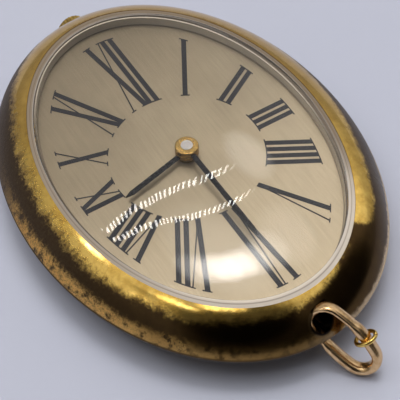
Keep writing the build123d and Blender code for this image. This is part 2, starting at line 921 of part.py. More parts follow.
def barrel_bridge():
    """The bridge over the barrel and the winding wheels."""
    line = bridge_line()
    far = movement_radius + overrun
    corner = (-far, -bridge_corner_share * movement_radius)
    slab = bridge([corner] + line + [(-far, far)])
    window = 2 * winding_pinion_radius + 4 * running
    slab -= block(window, far, bridge_low - overrun, dial_top, (0, stem_inner_end + window_room + far / 2))
    slab -= rod_y(stem_radius + 2 * running, stem_inner_end - window_room, far)
    slab -= rod(barrel_place, barrel_pivot_radius + running, 0, dial_top)
    slab -= rod(crown_wheel_place, screw_shank_radius + seat / 2, 0, dial_top)
    slab -= upright_recess()
    slab -= rod(click_place, click_pin_radius + running, 0, dial_top)
    return slab


def train_bridge():
    """The bridge over the centre, third, fourth and escape wheels."""
    line = bridge_line()
    far = movement_radius + overrun
    shifted = [(x + bridge_gap, y - bridge_gap * bridge_shift_share) for x, y in line]
    tail = (bridge_tail_share * movement_radius, -far)
    slab = bridge([tail, (far, -far), (far, far)] + list(reversed(shifted)))
    slab -= rod(centre, jewel_radius + seat / 2, 0, dial_top)
    for place in (third_place, fourth_place, escape_place):
        slab -= rod(place, jewel_radius + seat / 2, 0, dial_top)
    slab -= upright_recess()
    window = 2 * winding_pinion_radius + 4 * running
    slab -= block(window, far, bridge_low - overrun, dial_top, (0, stem_inner_end + window_room + far / 2))
    return slab


def balance_cock():
    """The cock that reaches in from the edge over the balance."""
    foot_angle = math.degrees(math.atan2(balance_place[1], balance_place[0]))
    reach = math.hypot(*balance_place)
    foot_inner = reach + balance_radius + cock_foot_gap
    arm = Pos((reach + bridge_radius) / 2, 0, 0) * Rectangle(bridge_radius - reach, cock_width)
    face = (arm + Pos(reach, 0) * Circle(cock_eye)) & Circle(bridge_radius)
    cock = Pos(0, 0, cock_low) * extrude(face, cock_high - cock_low)
    foot_face = Pos((foot_inner + bridge_radius) / 2, 0) * Rectangle(
        bridge_radius - foot_inner, cock_width
    )
    foot_face &= Circle(bridge_radius)
    cock += Pos(0, 0, cock_low) * extrude(foot_face, plate_rim_low - cock_low - seat / 2)
    cock = Rot(0, 0, foot_angle) * cock
    cock -= rod(balance_place, jewel_radius + seat / 2, 0, dial_top)
    for place in bridge_screw_places:
        cock -= rod(place, screw_shank_radius + running, 0, dial_top)
        cock -= rod(place, bridge_screw_head + running, 0, cock_low + bridge_screw_sink)
    return cock


def pallet_bridge():
    """The small bridge under the pallet fork's arbor."""
    start = fork_place
    face = Pos(start[0], start[1]) * Circle(pallet_bridge_radius)
    arm_end = step_from(start, pallet_bridge_reach, pallet_bridge_angle)
    middle = ((start[0] + arm_end[0]) / 2, (start[1] + arm_end[1]) / 2)
    face += Pos(middle[0], middle[1]) * Rot(0, 0, pallet_bridge_angle) * Rectangle(
        pallet_bridge_reach, 2 * pallet_bridge_radius
    )
    face &= Circle(plate_rim_inner - seat)
    slab = Pos(0, 0, pallet_bridge_low) * extrude(face, pallet_bridge_thickness)
    pillar_place = step_from(start, pallet_bridge_reach - pallet_bridge_radius, pallet_bridge_angle)
    pillar = rod(pillar_place, pallet_pillar_radius, pallet_bridge_low, plate_floor_low - seat / 2)
    slab += pillar
    return slab - rod(start, pivot_radius + running, 0, dial_top)


def barrel_drum():
    """The toothed drum, open below, that holds the mainspring."""
    drum = gear(barrel_teeth, barrel_module, barrel_tooth_low, barrel_high, barrel_place,
                turn=barrel_angle + 180 + 180 / barrel_teeth)
    body = barrel_teeth * barrel_module / 2 - barrel_module - tooth_gap
    drum += rod(barrel_place, body, barrel_low, barrel_tooth_low)
    drum -= rod(barrel_place, body - barrel_wall, barrel_low - overrun, barrel_high - barrel_floor)
    return drum - rod(barrel_place, barrel_pivot_radius + running, 0, dial_top)


def barrel_cover():
    """The disc snapped over the drum's open side."""
    body = barrel_teeth * barrel_module / 2 - barrel_module - tooth_gap
    cover = rod(barrel_place, body, barrel_low - seat - barrel_cover_thickness, barrel_low - seat / 2)
    return cover - rod(barrel_place, barrel_pivot_radius + running, 0, dial_top)


def barrel_arbor():
    """The arbor through the barrel, with the square that carries the ratchet wheel."""
    top = plate_floor_low + barrel_pivot_length
    body = rod(barrel_place, barrel_pivot_radius, crown_wheel_low + click_wheel_thickness, top)
    body += rod(barrel_place, barrel_arbor_radius, barrel_low + seat, barrel_high - barrel_floor - seat)
    square = block(ratchet_square, ratchet_square, crown_wheel_low + seat,
                   crown_wheel_low + click_wheel_thickness, barrel_place)
    body += square
    return body - rod(barrel_place, ratchet_screw_radius + seat / 2, 0, barrel_low)


def mainspring():
    """The coiled strip between the barrel's arbor and its wall."""
    outer = barrel_teeth * barrel_module / 2 - barrel_module - tooth_gap - barrel_wall - spring_strip
    return spiral_strip(
        barrel_place, barrel_arbor_radius + spring_strip, outer, spring_turns, spring_strip,
        barrel_low + 2 * seat, barrel_high - barrel_floor - 2 * seat,
    )


def ratchet_wheel():
    """The wheel on the barrel's arbor that the click holds."""
    low = crown_wheel_low
    high = low + click_wheel_thickness
    wheel = gear(ratchet_teeth, ratchet_module, low, high, barrel_place, turn=ratchet_line)
    return wheel - block(ratchet_square + seat, ratchet_square + seat, low - overrun, high + overrun,
                         barrel_place)


def ratchet_screw():
    """The screw in the end of the barrel's arbor."""
    head_high = crown_wheel_low - seat / 2
    return slotted_screw(barrel_place, screw_head_low, barrel_low - 2 * seat, head_high,
                         shank=ratchet_screw_radius, turn=ratchet_screw_turn)


def crown_wheel():
    """The wheel that turns the winding motion level, with a flat and an upright set of teeth."""
    low = crown_wheel_low
    high = low + click_wheel_thickness
    half_tooth = 180 / crown_wheel_teeth
    wheel = gear(crown_wheel_teeth, ratchet_module, low, high, crown_wheel_place,
                 turn=ratchet_line + 180 + half_tooth)
    upright = tooth_outline(crown_wheel_teeth, upright_outer, upright_inner / 2, turn=90 + half_tooth)
    upright -= Circle(upright_inner)
    wheel += Pos(crown_wheel_place[0], crown_wheel_place[1], high) * extrude(upright, upright_height)
    return wheel - rod(crown_wheel_place, crown_core_radius + running, low - overrun, high + overrun)


def crown_wheel_screw():
    """The core and screw that the crown wheel turns on."""
    low = crown_wheel_low
    core_high = bridge_low - seat / 2
    screw = slotted_screw(crown_wheel_place, screw_head_low, plate_rim_low - 2 * seat, low - seat / 2,
                          head=crown_core_radius + crown_screw_overlap, turn=crown_screw_turn)
    return screw + rod(crown_wheel_place, crown_core_radius, low - seat / 2, core_high)


def click():
    """The pawl that stops the ratchet wheel from running back."""
    low = crown_wheel_low + seat
    high = bridge_low - seat
    towards = math.degrees(math.atan2(barrel_place[1] - click_place[1], barrel_place[0] - click_place[0]))
    body = rod(click_place, click_body_radius, low, high)
    nose = Polyline(
        (0, -click_body_radius), (click_reach, -click_nose_half), (click_reach, click_nose_half),
        (0, click_body_radius), close=True,
    )
    body += Pos(click_place[0], click_place[1], low) * Rot(0, 0, towards + click_lead) * extrude(
        make_face(nose), high - low
    )
    return body + rod(click_place, click_pin_radius, high, plate_rim_low - 2 * seat)


def click_spring():
    """The bent wire that presses the click home."""
    low = bridge_low - seat / 2 - click_wire_radius * 2
    first_angle, second_angle = click_spring_angles
    first_run, second_run = click_spring_runs
    start = step_from(click_place, click_body_radius + click_wire_radius + click_spring_gap, first_angle)
    middle = step_from(start, first_run, first_angle)
    end = step_from(middle, second_run, second_angle)
    path = FilletPolyline(
        (start[0], start[1], low + click_wire_radius), (middle[0], middle[1], low + click_wire_radius),
        (end[0], end[1], low + click_wire_radius), radius=4 * click_wire_radius,
    )
    section = Plane(path @ 0, z_dir=path % 0) * Circle(click_wire_radius)
    return sweep(sections=section, path=path)


def centre_arbor():
    """The centre arbor with its pinion, up through the dial to the hands' hub."""
    body = rod(centre, pivot_radius, bridge_low + seat, centre_low)
    body += rod(centre, arbor_radius, plate_rim_low + seat, plate_floor_low)
    body += rod(centre, centre_arbor_radius, plate_floor_low - seat, hub_top - seat)
    return body + gear(centre_pinion_teeth, barrel_module, centre_pinion_low, centre_pinion_high, centre,
                       turn=barrel_angle)


def centre_wheel():
    """The hour's wheel: one turn an hour, pressed on the centre arbor."""
    return spoked_wheel(centre_teeth, centre_module, centre_low + seat, centre, arbor_radius,
                        turn=third_angle)


def third_wheel():
    """The third wheel and its pinion on one arbor."""
    wheel = spoked_wheel(third_teeth, third_module, third_low, third_place, wheel_bore,
                         turn=fourth_angle)
    pinion = gear(third_pinion_teeth, centre_module, centre_low, third_low + seat, third_place,
                  turn=third_angle + 180 + 180 / third_pinion_teeth)
    shaft = arbor(third_place, bridge_low + seat, plate_floor_low + jewel_thickness, plate_rim_low + seat,
                  plate_floor_low - seat)
    return wheel + pinion + shaft


def fourth_wheel():
    """The fourth wheel and its pinion: one turn a minute."""
    wheel = spoked_wheel(fourth_teeth, fourth_module, fourth_low, fourth_place, wheel_bore,
                         turn=escape_angle)
    pinion = gear(fourth_pinion_teeth, third_module, third_low - 3 * seat, fourth_low + seat, fourth_place,
                  turn=fourth_angle + 180 + 180 / fourth_pinion_teeth)
    shaft = arbor(fourth_place, bridge_low + seat, plate_floor_low + jewel_thickness, plate_rim_low + seat,
                  plate_floor_low - seat)
    return wheel + pinion + shaft


def escape_wheel():
    """The escape wheel with its raked club teeth, and its pinion."""
    points = []
    pitch = 360 / escape_teeth
    root = escape_radius * escape_root_share
    tip_share, heel_share, back_share = escape_tooth_shares
    for tooth in range(escape_teeth):
        turn = tooth * pitch
        points.append(at(root, turn))
        points.append(at(escape_radius, turn + pitch * tip_share))
        points.append(at(escape_radius * escape_heel_share, turn + pitch * heel_share))
        points.append(at(root, turn + pitch * back_share))
    high = escape_low + escape_thickness
    wheel = extrude(make_face(Polyline(*points, close=True)), escape_thickness)
    wheel = Pos(escape_place[0], escape_place[1], escape_low) * wheel
    wheel -= crossings(escape_place, root - escape_rim, escape_low, high, escape_arms, wheel_arm,
                       escape_hub)
    pinion = gear(escape_pinion_teeth, fourth_module, escape_low + escape_thickness - seat,
                  plate_floor_low - 2 * seat, escape_place,
                  turn=escape_angle + 180 + 180 / escape_pinion_teeth)
    shaft = arbor(escape_place, bridge_low + seat, plate_floor_low + jewel_thickness, plate_rim_low + seat,
                  plate_floor_low - seat, radius=thin_arbor_radius)
    return wheel + pinion + shaft


def pallet_fork():
    """The lever between the escape wheel and the balance, with its horns and arbor."""
    reach = balance_distance - fork_distance - impulse_pin_place + impulse_pin_radius
    low = escape_low
    half = fork_bar / 2
    bar = Pos(reach / 2 - fork_notch, 0) * Rectangle(reach, fork_bar)
    head = Pos(reach - fork_notch, 0) * Rectangle(2 * fork_notch, 4 * half + 2 * impulse_pin_radius)
    notch = Pos(reach, 0) * Rectangle(2 * fork_notch, 2 * impulse_pin_radius + 4 * running)
    face = bar + head - notch
    for side in (-1, 1):
        arm_end = at(pallet_arm, 180 - side * pallet_spread)
        middle = (arm_end[0] / 2, arm_end[1] / 2)
        face += Pos(middle[0], middle[1]) * Rot(0, 0, 180 - side * pallet_spread) * Rectangle(
            pallet_arm, fork_bar
        )
    face += Circle(fork_hub_radius)
    fork = extrude(face, escape_thickness)
    fork = Pos(fork_place[0], fork_place[1], low) * Rot(0, 0, fork_angle) * fork
    fork += rod(fork_place, pivot_radius, pallet_bridge_low + seat, plate_floor_low + jewel_thickness)
    return fork + rod(fork_place, thin_arbor_radius,
                      pallet_bridge_low + pallet_bridge_thickness + seat, plate_floor_low - seat)


def pallet_stones():
    """The two ruby pallets at the ends of the fork's arms."""
    stones = []
    for side in (-1, 1):
        place = at(pallet_arm + stone_length / 4, 180 - side * pallet_spread)
        stone = Pos(place[0], place[1], escape_low + escape_thickness + stone_height / 2) * Rot(
            0, 0, 180 - side * stone_lean
        ) * Box(stone_length, stone_width, stone_height)
        stone = Pos(fork_place[0], fork_place[1], 0) * Rot(0, 0, fork_angle) * stone
        stones.append(stone)
    return Compound(children=stones)


def balance_wheel():
    """The balance: a rim on two arms."""
    low = balance_low
    high = low + balance_thickness
    outer = Circle(balance_radius)
    rim = outer - Circle(balance_radius - balance_rim_width)
    arms = Rectangle(2 * balance_radius - balance_rim_width, balance_arm_width)
    hub = Circle(wheel_hub)
    face = rim + arms + hub - Circle(arbor_radius)
    wheel = Pos(balance_place[0], balance_place[1], low) * Rot(0, 0, balance_arm_turn) * extrude(
        face, high - low
    )
    return wheel


def balance_staff():
    """The staff with its two fine pivots."""
    body = rod(balance_place, staff_pivot_radius, cock_low + staff_end_gap,
               plate_floor_low + jewel_thickness)
    body += rod(balance_place, arbor_radius, cock_high + seat, roller_low)
    body += rod(balance_place, hairspring_inner - hairspring_strip, hairspring_low - seat,
                hairspring_low + hairspring_thickness + seat)
    return body + rod(balance_place, staff_foot_radius, roller_low - seat, plate_floor_low - seat)


def roller_table():
    """The roller with the impulse pin that meets the fork."""
    high = roller_low - seat
    low = high - roller_thickness
    ring = rod(balance_place, roller_radius, low, high)
    ring -= rod(balance_place, arbor_radius, low - overrun, high + overrun)
    pin = rod(step_from(balance_place, impulse_pin_place, fork_angle + 180), impulse_pin_radius,
              high - seat, escape_low + escape_thickness - seat)
    return ring + pin


def hairspring():
    """The flat balance spring between its collet and its stud."""
    return spiral_strip(
        balance_place, hairspring_inner, hairspring_outer, hairspring_turns, hairspring_strip,
        hairspring_low, hairspring_low + hairspring_thickness,
    )


def hairspring_stud():
    """The pin in the cock that holds the hairspring's outer end."""
    place = step_from(balance_place, hairspring_outer, stud_angle)
    return rod(place, stud_radius, cock_high, hairspring_low + hairspring_thickness)


def regulator():
    """The index on the cock that sets the rate."""
    high = cock_low - seat
    low = high - regulator_thickness
    ring = rod(balance_place, regulator_ring, low, high)
    direction = math.degrees(math.atan2(-balance_place[1], -balance_place[0]))
    bar = Pos(balance_place[0], balance_place[1], (low + high) / 2) * Rot(0, 0, direction) * Pos(
        regulator_length / 2, 0, 0
    ) * Box(regulator_length, regulator_width, regulator_thickness)
    return ring + bar - rod(balance_place, jewel_radius, low - overrun, high + overrun)


def jewels():
    """The ring jewels pressed into the plate and the bridges."""
    stones = []
    for place in (third_place, fourth_place, escape_place, fork_place, balance_place):
        stones.append(jewel(place, plate_floor_low + seat / 2))
    for place in (centre, third_place, fourth_place, escape_place):
        stones.append(jewel(place, bridge_low + seat / 2))
    stones.append(jewel(balance_place, cock_low + seat / 2, hole=staff_pivot_radius))
    return Compound(children=stones)


def bridge_screws():
    """The screws that hold the bridges and the cock to the main plate."""
    screws = []
    for index, place in enumerate(bridge_screw_places):
        low = bridge_low
        if index == len(bridge_screw_places) - 1:
            low = cock_low
        high = low + bridge_screw_sink - seat
        screws.append(
            slotted_screw(place, low + seat, bridge_screw_high, high, head=bridge_screw_head,
                          shank=screw_shank_radius - seat / 2, turn=bridge_screw_turn * index)
        )
    return Compound(children=screws)


def cannon_pinion():
    """The pipe on the centre arbor that drives the motion work and holds the minute hand."""
    low = plate_floor_high + seat
    body = rod(centre, cannon_radius, low, hub_top)
    body += gear(cannon_teeth, motion_module, low, low + cannon_leaf, centre, turn=minute_angle)
    return body - rod(centre, centre_arbor_radius + seat / 2, low - overrun, hub_top + overrun)


def minute_wheel():
    """The wheel and pinion between the cannon pinion and the hour wheel."""
    low = motion_low + seat / 2
    wheel = gear(minute_teeth, motion_module, low, low + motion_thickness, minute_place,
                 turn=minute_angle + 180 + 180 / minute_teeth)
    wheel += gear(minute_pinion_teeth, motion_module, low + motion_thickness, hour_wheel_high + seat,
                  minute_place, turn=minute_angle + 180)
    return wheel - rod(minute_place, minute_post_radius + running, low - overrun, dial_top)


def hour_wheel():
    """The hour wheel with the pipe that carries the hour hand."""
    wheel = gear(hour_teeth, motion_module, hour_wheel_low, hour_wheel_high, centre,
                 turn=minute_angle + 180 / hour_teeth)
    wheel += rod(centre, hour_pipe_radius, hour_wheel_low,
                 hour_hand_low + boss_height * hour_pipe_share)
    return wheel - rod(centre, cannon_radius + running, hour_wheel_low - overrun, hub_top)


def winding_stem():
    """The stem: a square for the clutch, a round length, a neck and the shank to the crown."""
    shoulder = winding_pinion_low + winding_pinion_length + tooth_gap
    neck_start, neck_end = stem_neck
    body = block(stem_square, winding_pinion_low - stem_inner_end, stem_height - stem_square / 2,
                 stem_height + stem_square / 2, (0, (winding_pinion_low + stem_inner_end) / 2))
    body += rod_y(stem_pilot_radius, winding_pinion_low, shoulder)
    body += rod_y(stem_radius, shoulder, neck_start)
    body += rod_y(stem_neck_radius, neck_start, neck_end)
    return body + rod_y(stem_radius, neck_end, crown_inner_end + crown_bore_depth)


def winding_pinion():
    """The pinion that the stem turns freely in until the clutch grips it."""
    end = winding_pinion_low + winding_pinion_length
    root = winding_pinion_radius - winding_tooth_depth
    face = tooth_outline(winding_pinion_teeth, winding_pinion_radius, root, root_share=0.265)
    body = Plane((0, winding_pinion_low, stem_height), x_dir=(1, 0, 0), z_dir=(0, 1, 0)) * extrude(
        face, winding_pinion_length
    )
    return body - rod_y(stem_pilot_radius + running, winding_pinion_low - overrun, end + overrun)


def sliding_clutch():
    """The clutch that slides on the stem's square, with end teeth and a groove for the yoke."""
    middle = clutch_low + clutch_length / 2
    body = rod_y(clutch_radius, clutch_low, clutch_low + clutch_length)
    groove = rod_y(clutch_radius + overrun, middle - clutch_groove / 2, middle + clutch_groove / 2)
    groove -= rod_y(clutch_core_radius, clutch_low, clutch_low + clutch_length)
    body -= groove
    gap = clutch_radius * math.sin(math.pi / clutch_teeth / 2)
    for tooth in range(clutch_teeth):
        notch = Pos(0, 0, clutch_radius) * Box(gap, 2 * clutch_tooth_depth, clutch_radius / 2)
        notch = Rot(0, 360 / clutch_teeth * tooth, 0) * notch
        for end in (clutch_low, clutch_low + clutch_length):
            body -= Pos(0, end, stem_height) * notch
    hole = stem_square + 2 * running
    return body - Pos(0, middle, stem_height) * Box(hole, 3 * clutch_length, hole)


def crown():
    """The fluted crown at twelve."""
    body = rod_y(crown_radius, crown_inner_end, crown_inner_end + crown_length)
    rims = body.edges().filter_by(GeomType.CIRCLE)
    body = chamfer(rims, crown_flute_radius)
    flutes = None
    for flute in range(crown_flutes):
        angle = 360 / crown_flutes * flute
        x, z = at(crown_radius + crown_flute_radius * crown_flute_out_share, angle)
        cutter = Plane(
            (x, crown_inner_end - overrun, stem_height + z), x_dir=(1, 0, 0), z_dir=(0, 1, 0)
        ) * extrude(Circle(crown_flute_radius), crown_length + 2 * overrun)
        flutes = cutter if flutes is None else flutes + cutter
    body -= flutes
    return body - rod_y(stem_radius, crown_inner_end - overrun, crown_inner_end + crown_bore_depth)


def keyless_lever(pivot, outline, pin_place, pin_low):
    """A flat lever on its post, with a pin that hangs down into the winding work."""
    points = [(pivot[0] + x, pivot[1] + y) for x, y in outline]
    lever = Pos(0, 0, keyless_low) * extrude(make_face(Polyline(*points, close=True)), keyless_thickness)
    lever -= rod(pivot, keyless_post_radius + running, keyless_low - overrun, dial_top)
    return lever + rod(pin_place, keyless_pin_radius, pin_low, keyless_low + keyless_thickness)


def setting_lever():
    """The lever whose pin rides in the stem's neck."""
    reach_shares = ((-0.17, -0.22), (0.16, -0.18), (0.15, 0.18), (-1.03, 0.48), (-1.07, 0.33),
                    (-0.28, 0.06))
    span = setting_lever_place[0]
    outline = [(span * x, span * y) for x, y in reach_shares]
    pin_place = (0, sum(stem_neck) / 2)
    return keyless_lever(setting_lever_place, outline, pin_place,
                         stem_height + stem_neck_radius + seat)


def yoke():
    """The lever whose pin slides the clutch."""
    reach_shares = ((-0.15, -0.14), (0.13, -0.15), (1.05, 0.34), (1.03, 0.50), (0.10, 0.16),
                    (-0.15, 0.14))
    span = -yoke_place[0]
    outline = [(span * x, span * y) for x, y in reach_shares]
    pin_place = (0, clutch_low + clutch_length / 2)
    return keyless_lever(yoke_place, outline, pin_place, stem_height + clutch_core_radius + seat)


def plate_posts():
    """The posts in the main plate for the minute wheel, the setting lever and the yoke."""
    posts = [rod(minute_place, minute_post_radius, plate_floor_high + seat / 2, dial_low - seat)]
    for place in (setting_lever_place, yoke_place):
        high = keyless_low + keyless_thickness + seat
        post = rod(place, keyless_post_radius, plate_floor_high + seat / 2, high)
        posts.append(post + rod(place, keyless_post_head, high, dial_low - seat))
    return Compound(children=posts)


def setting_wheel():
    """The wheel under the dial between the setting arbor and the minute wheel."""
    low = keyless_low
    wheel = gear(setting_teeth, motion_module, low, low + motion_thickness, setting_place,
                 turn=setting_line + 180 / setting_teeth)
    return wheel - rod(setting_place, setting_arbor_radius, low - overrun, dial_top)


def setting_arbor():
    """The arbor and lower wheel that the clutch drives when the crown is out."""
    high = setting_drive_low + setting_drive_thickness
    wheel = gear(setting_teeth, setting_drive_module, setting_drive_low, high, setting_place)
    return wheel + rod(setting_place, setting_arbor_radius, setting_drive_low,
                       keyless_low + motion_thickness + seat)


def bail_link():
    """The flat-wire bail, hooked through the rim at six."""
    band = bail_band()
    long_edges = band.edges().filter_by(lambda edge: abs(edge.center().Z) > bail_width / 2 - seat / 10)
    band = fillet(long_edges, bail_edge_round)
    return bail_frame() * band


def jump_ring():
    """The small round ring on the bail, for the chain."""
    reach, radius, offset = bail_side()
    wire = Torus(jump_ring_radius, jump_wire_radius)
    wire -= Pos(-jump_ring_radius, 0, 0) * Box(4 * jump_wire_radius, jump_split, 4 * jump_wire_radius)
    wire = Rot(0, 90 + jump_tilt, 0) * wire
    on_side = Pos(reach, offset, 0) * Rot(0, 0, jump_place) * Pos(0, -radius, 0)
    return bail_frame() * on_side * Rot(90, 0, 0) * wire


def make_all():
    """Build and write every sub-part."""
    hour_blade = hand_blade(hour_hand_reach, hour_hand_low, hour_hand_turn, hand_start)
    minute_blade = hand_blade(minute_hand_reach, minute_hand_low, minute_hand_turn, hand_start)
    hour_boss = hand_boss(hour_hand_low - hour_boss_drop, hour_pipe_radius)
    minute_boss = hand_boss(minute_hand_low - minute_boss_drop, cannon_radius)
    pieces = {
        "case_shell": case_shell(),
        "case_back": case_back(),
        "back_gasket": back_gasket(),
        "crystal": crystal(),
        "reflector_ring": reflector_ring(),
        "crown_tube": crown_tube(),
        "movement_holder": movement_holder(),
        "case_clamps": case_clamps(),
        "clamp_screws": clamp_screws(),
        "dial": dial(),
        "numerals": numerals(),
        "dial_foot_screws": dial_foot_screws(),
        "hour_hand_blade": hour_blade,
        "hour_hand_boss": pocket_for_blade(hour_boss, hour_blade),
        "minute_hand_blade": minute_blade,
        "minute_hand_boss": pocket_for_blade(minute_boss, minute_blade),
        "main_plate": main_plate(),
        "barrel_bridge": barrel_bridge(),
        "train_bridge": train_bridge(),
        "balance_cock": balance_cock(),
        "pallet_bridge": pallet_bridge(),
        "barrel_drum": barrel_drum(),
        "barrel_cover": barrel_cover(),
        "barrel_arbor": barrel_arbor(),
        "mainspring": mainspring(),
        "ratchet_wheel": ratchet_wheel(),
        "ratchet_screw": ratchet_screw(),
        "crown_wheel": crown_wheel(),
        "crown_wheel_screw": crown_wheel_screw(),
        "click": click(),
        "click_spring": click_spring(),
        "centre_arbor": centre_arbor(),
        "centre_wheel": centre_wheel(),
        "third_wheel": third_wheel(),
        "fourth_wheel": fourth_wheel(),
        "escape_wheel": escape_wheel(),
        "pallet_fork": pallet_fork(),
        "pallet_stones": pallet_stones(),
        "balance_wheel": balance_wheel(),
        "balance_staff": balance_staff(),
        "roller_table": roller_table(),
        "hairspring": hairspring(),
        "hairspring_stud": hairspring_stud(),
        "regulator": regulator(),
        "jewels": jewels(),
        "bridge_screws": bridge_screws(),
        "cannon_pinion": cannon_pinion(),
        "minute_wheel": minute_wheel(),
        "plate_posts": plate_posts(),
        "hour_wheel": hour_wheel(),
        "winding_stem": winding_stem(),
        "winding_pinion": winding_pinion(),
        "sliding_clutch": sliding_clutch(),
        "crown": crown(),
        "setting_lever": setting_lever(),
        "yoke": yoke(),
        "setting_wheel": setting_wheel(),
        "setting_arbor": setting_arbor(),
        "bail_link": bail_link(),
        "jump_ring": jump_ring(),
    }
    for name, piece in pieces.items():
        save(piece, name)
    print(len(pieces), "sub-parts")


make_all()
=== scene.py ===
"""The looks of an oval gilt pendant watch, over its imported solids. Metres, +Z up out of the dial."""

import math

import bpy
from mathutils import Matrix, Vector


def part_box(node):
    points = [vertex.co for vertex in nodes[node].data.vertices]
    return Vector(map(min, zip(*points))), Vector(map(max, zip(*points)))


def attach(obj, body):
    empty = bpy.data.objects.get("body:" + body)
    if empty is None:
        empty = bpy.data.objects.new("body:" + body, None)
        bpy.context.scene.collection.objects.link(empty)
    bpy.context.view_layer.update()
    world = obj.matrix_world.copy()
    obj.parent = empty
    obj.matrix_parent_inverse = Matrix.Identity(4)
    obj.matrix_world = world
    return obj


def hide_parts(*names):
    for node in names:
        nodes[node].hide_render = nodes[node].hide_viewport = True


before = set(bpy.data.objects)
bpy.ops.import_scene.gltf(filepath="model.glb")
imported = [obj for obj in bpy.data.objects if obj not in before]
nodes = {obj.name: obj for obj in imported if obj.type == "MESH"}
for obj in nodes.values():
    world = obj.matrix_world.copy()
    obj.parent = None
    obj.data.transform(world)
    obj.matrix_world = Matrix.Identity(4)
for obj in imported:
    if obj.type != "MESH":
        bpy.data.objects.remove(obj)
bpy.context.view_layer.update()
mm = 0.001

# Camera, as the photograph was taken: place, axes and lens
camera_place = (-0.03707380, -0.06489142, 0.09808626)
camera_right = (0.85071086, -0.52539202, -0.01594536)
camera_down = (-0.42803966, -0.67483409, -0.60114972)
camera_view = (0.3050788, 0.51822985, -0.79897731)
camera_lens = 129.551
camera_sensor_width = 36.0

# The case's outline in millimetres, for the finishes that follow it
case_low, case_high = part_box("case_shell")
half_width = case_high.x / mm
half_length = -case_low.y / mm
lip_level = case_high.z / mm
edge_level = 3.16
ring_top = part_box("reflector_ring")[1].z / mm
crystal_inset = 3.02
ring_line_inset = 3.86

# The hole in the rim, the bail that goes through it, and the jump ring
hole_mouth = (0.41, -19.12, 4.60)
hole_lean = 30.0
bail_hinge = (0.88, -19.06, 4.32)
bail_turns = ((26.8, "Z"), (39.5, "X"), (24.2, "Y"), (-90.0, "Z"), (-90.0, "X"))
bail_half_length = 3.315
bail_half_width = 1.504
bail_end_radius = 1.25
bail_thickness = 0.56
bail_width = 1.09
bail_fullness = 0.50
bail_flare = 0.09
bail_flare_start = 1.25
bail_flare_length = 0.90
bail_side_power = 0.82
bail_face_power = 0.90
bail_points_per_mm = 10.0
bail_corners = 32
ring_radius = 0.82
ring_wire = 0.175
ring_angle = 5.2
ring_tilt = 9.0
ring_gap = 0.04
ring_steps = 72
ring_corners = 20

# The table
table_half_size = 1.5
table_level = -0.02 * mm


def new_material(name):
    """An empty material with a surface shader, and its node tree."""
    material = bpy.data.materials.new(name)
    material.use_nodes = True
    tree = material.node_tree
    tree.nodes.clear()
    output = tree.nodes.new("ShaderNodeOutputMaterial")
    shader = tree.nodes.new("ShaderNodeBsdfPrincipled")
    tree.links.new(shader.outputs["BSDF"], output.inputs["Surface"])
    return material, tree, shader


def add(tree, kind, inputs=None, **settings):
    """A node with its settings, and each input either linked or set."""
    node = tree.nodes.new(kind)
    for key, value in settings.items():
        setattr(node, key, value)
    for key, value in (inputs or {}).items():
        if isinstance(value, bpy.types.NodeSocket):
            tree.links.new(value, node.inputs[key])
        else:
            node.inputs[key].default_value = value
    return node


def math_node(tree, operation, first, second=0.0):
    """The result of one sum."""
    return add(tree, "ShaderNodeMath", {0: first, 1: second}, operation=operation).outputs[0]


def plus(tree, first, second):
    """Two values added."""
    return math_node(tree, "ADD", first, second)


def minus(tree, first, second):
    """The second value taken from the first."""
    return math_node(tree, "SUBTRACT", first, second)


def times(tree, first, second):
    """Two values multiplied."""
    return math_node(tree, "MULTIPLY", first, second)


def measure(tree, operation, first, second):
    """One value from two vectors, such as the distance between them."""
    node = add(tree, "ShaderNodeVectorMath", {0: first, 1: second}, operation=operation)
    return node.outputs["Value"]


def mingle(tree, share, first, second):
    """Two patterns in one: a share of the first and the rest of the second."""
    return plus(tree, times(tree, first, share), times(tree, second, 1.0 - share))


def place_mm(tree, stretch=(1.0, 1.0, 1.0), turn=(0.0, 0.0, 0.0)):
    """The point on the surface in millimetres, stretched and turned where a grain asks for it."""
    coordinate = add(tree, "ShaderNodeTexCoord")
    scale = tuple(value / mm for value in stretch)
    mapping = add(tree, "ShaderNodeMapping", {"Vector": coordinate.outputs["Object"], "Scale": scale,
                                              "Rotation": turn})
    return mapping.outputs["Vector"]


def noise(tree, vector, scale, detail, rough, distortion=0.0):
    """A cloudy pattern from 0 to 1."""
    node = add(tree, "ShaderNodeTexNoise", {"Vector": vector, "Scale": scale, "Detail": detail,
                                            "Roughness": rough, "Distortion": distortion})
    return node.outputs["Fac"]


def ramp(tree, value, low, high, start=0.0, end=1.0, interpolation="SMOOTHSTEP"):
    """A step from a start to an end as the value goes from low to high."""
    node = add(tree, "ShaderNodeMapRange", {"Value": value, "From Min": low, "From Max": high,
                                            "To Min": start, "To Max": end},
               interpolation_type=interpolation)
    return node.outputs["Result"]


def fall(tree, value, low, high):
    """A step down from 1 to 0 as the value goes from low to high."""
    return ramp(tree, value, low, high, start=1.0, end=0.0)


def blend_colour(tree, share, first, second):
    """Two colours mixed by a share."""
    node = add(tree, "ShaderNodeMix", data_type="RGBA")
    for socket, value in ((node.inputs[0], share), (node.inputs[6], first), (node.inputs[7], second)):
        if isinstance(value, bpy.types.NodeSocket):
            tree.links.new(value, socket)
        else:
            socket.default_value = value if isinstance(value, float) else (*value, 1.0)
    return node.outputs[2]


def bump(tree, shader, height, distance, strength):
    """Fine relief under the finish."""
    node = add(tree, "ShaderNodeBump", {"Height": height, "Distance": distance * mm, "Strength": strength})
    tree.links.new(node.outputs["Normal"], shader.inputs["Normal"])


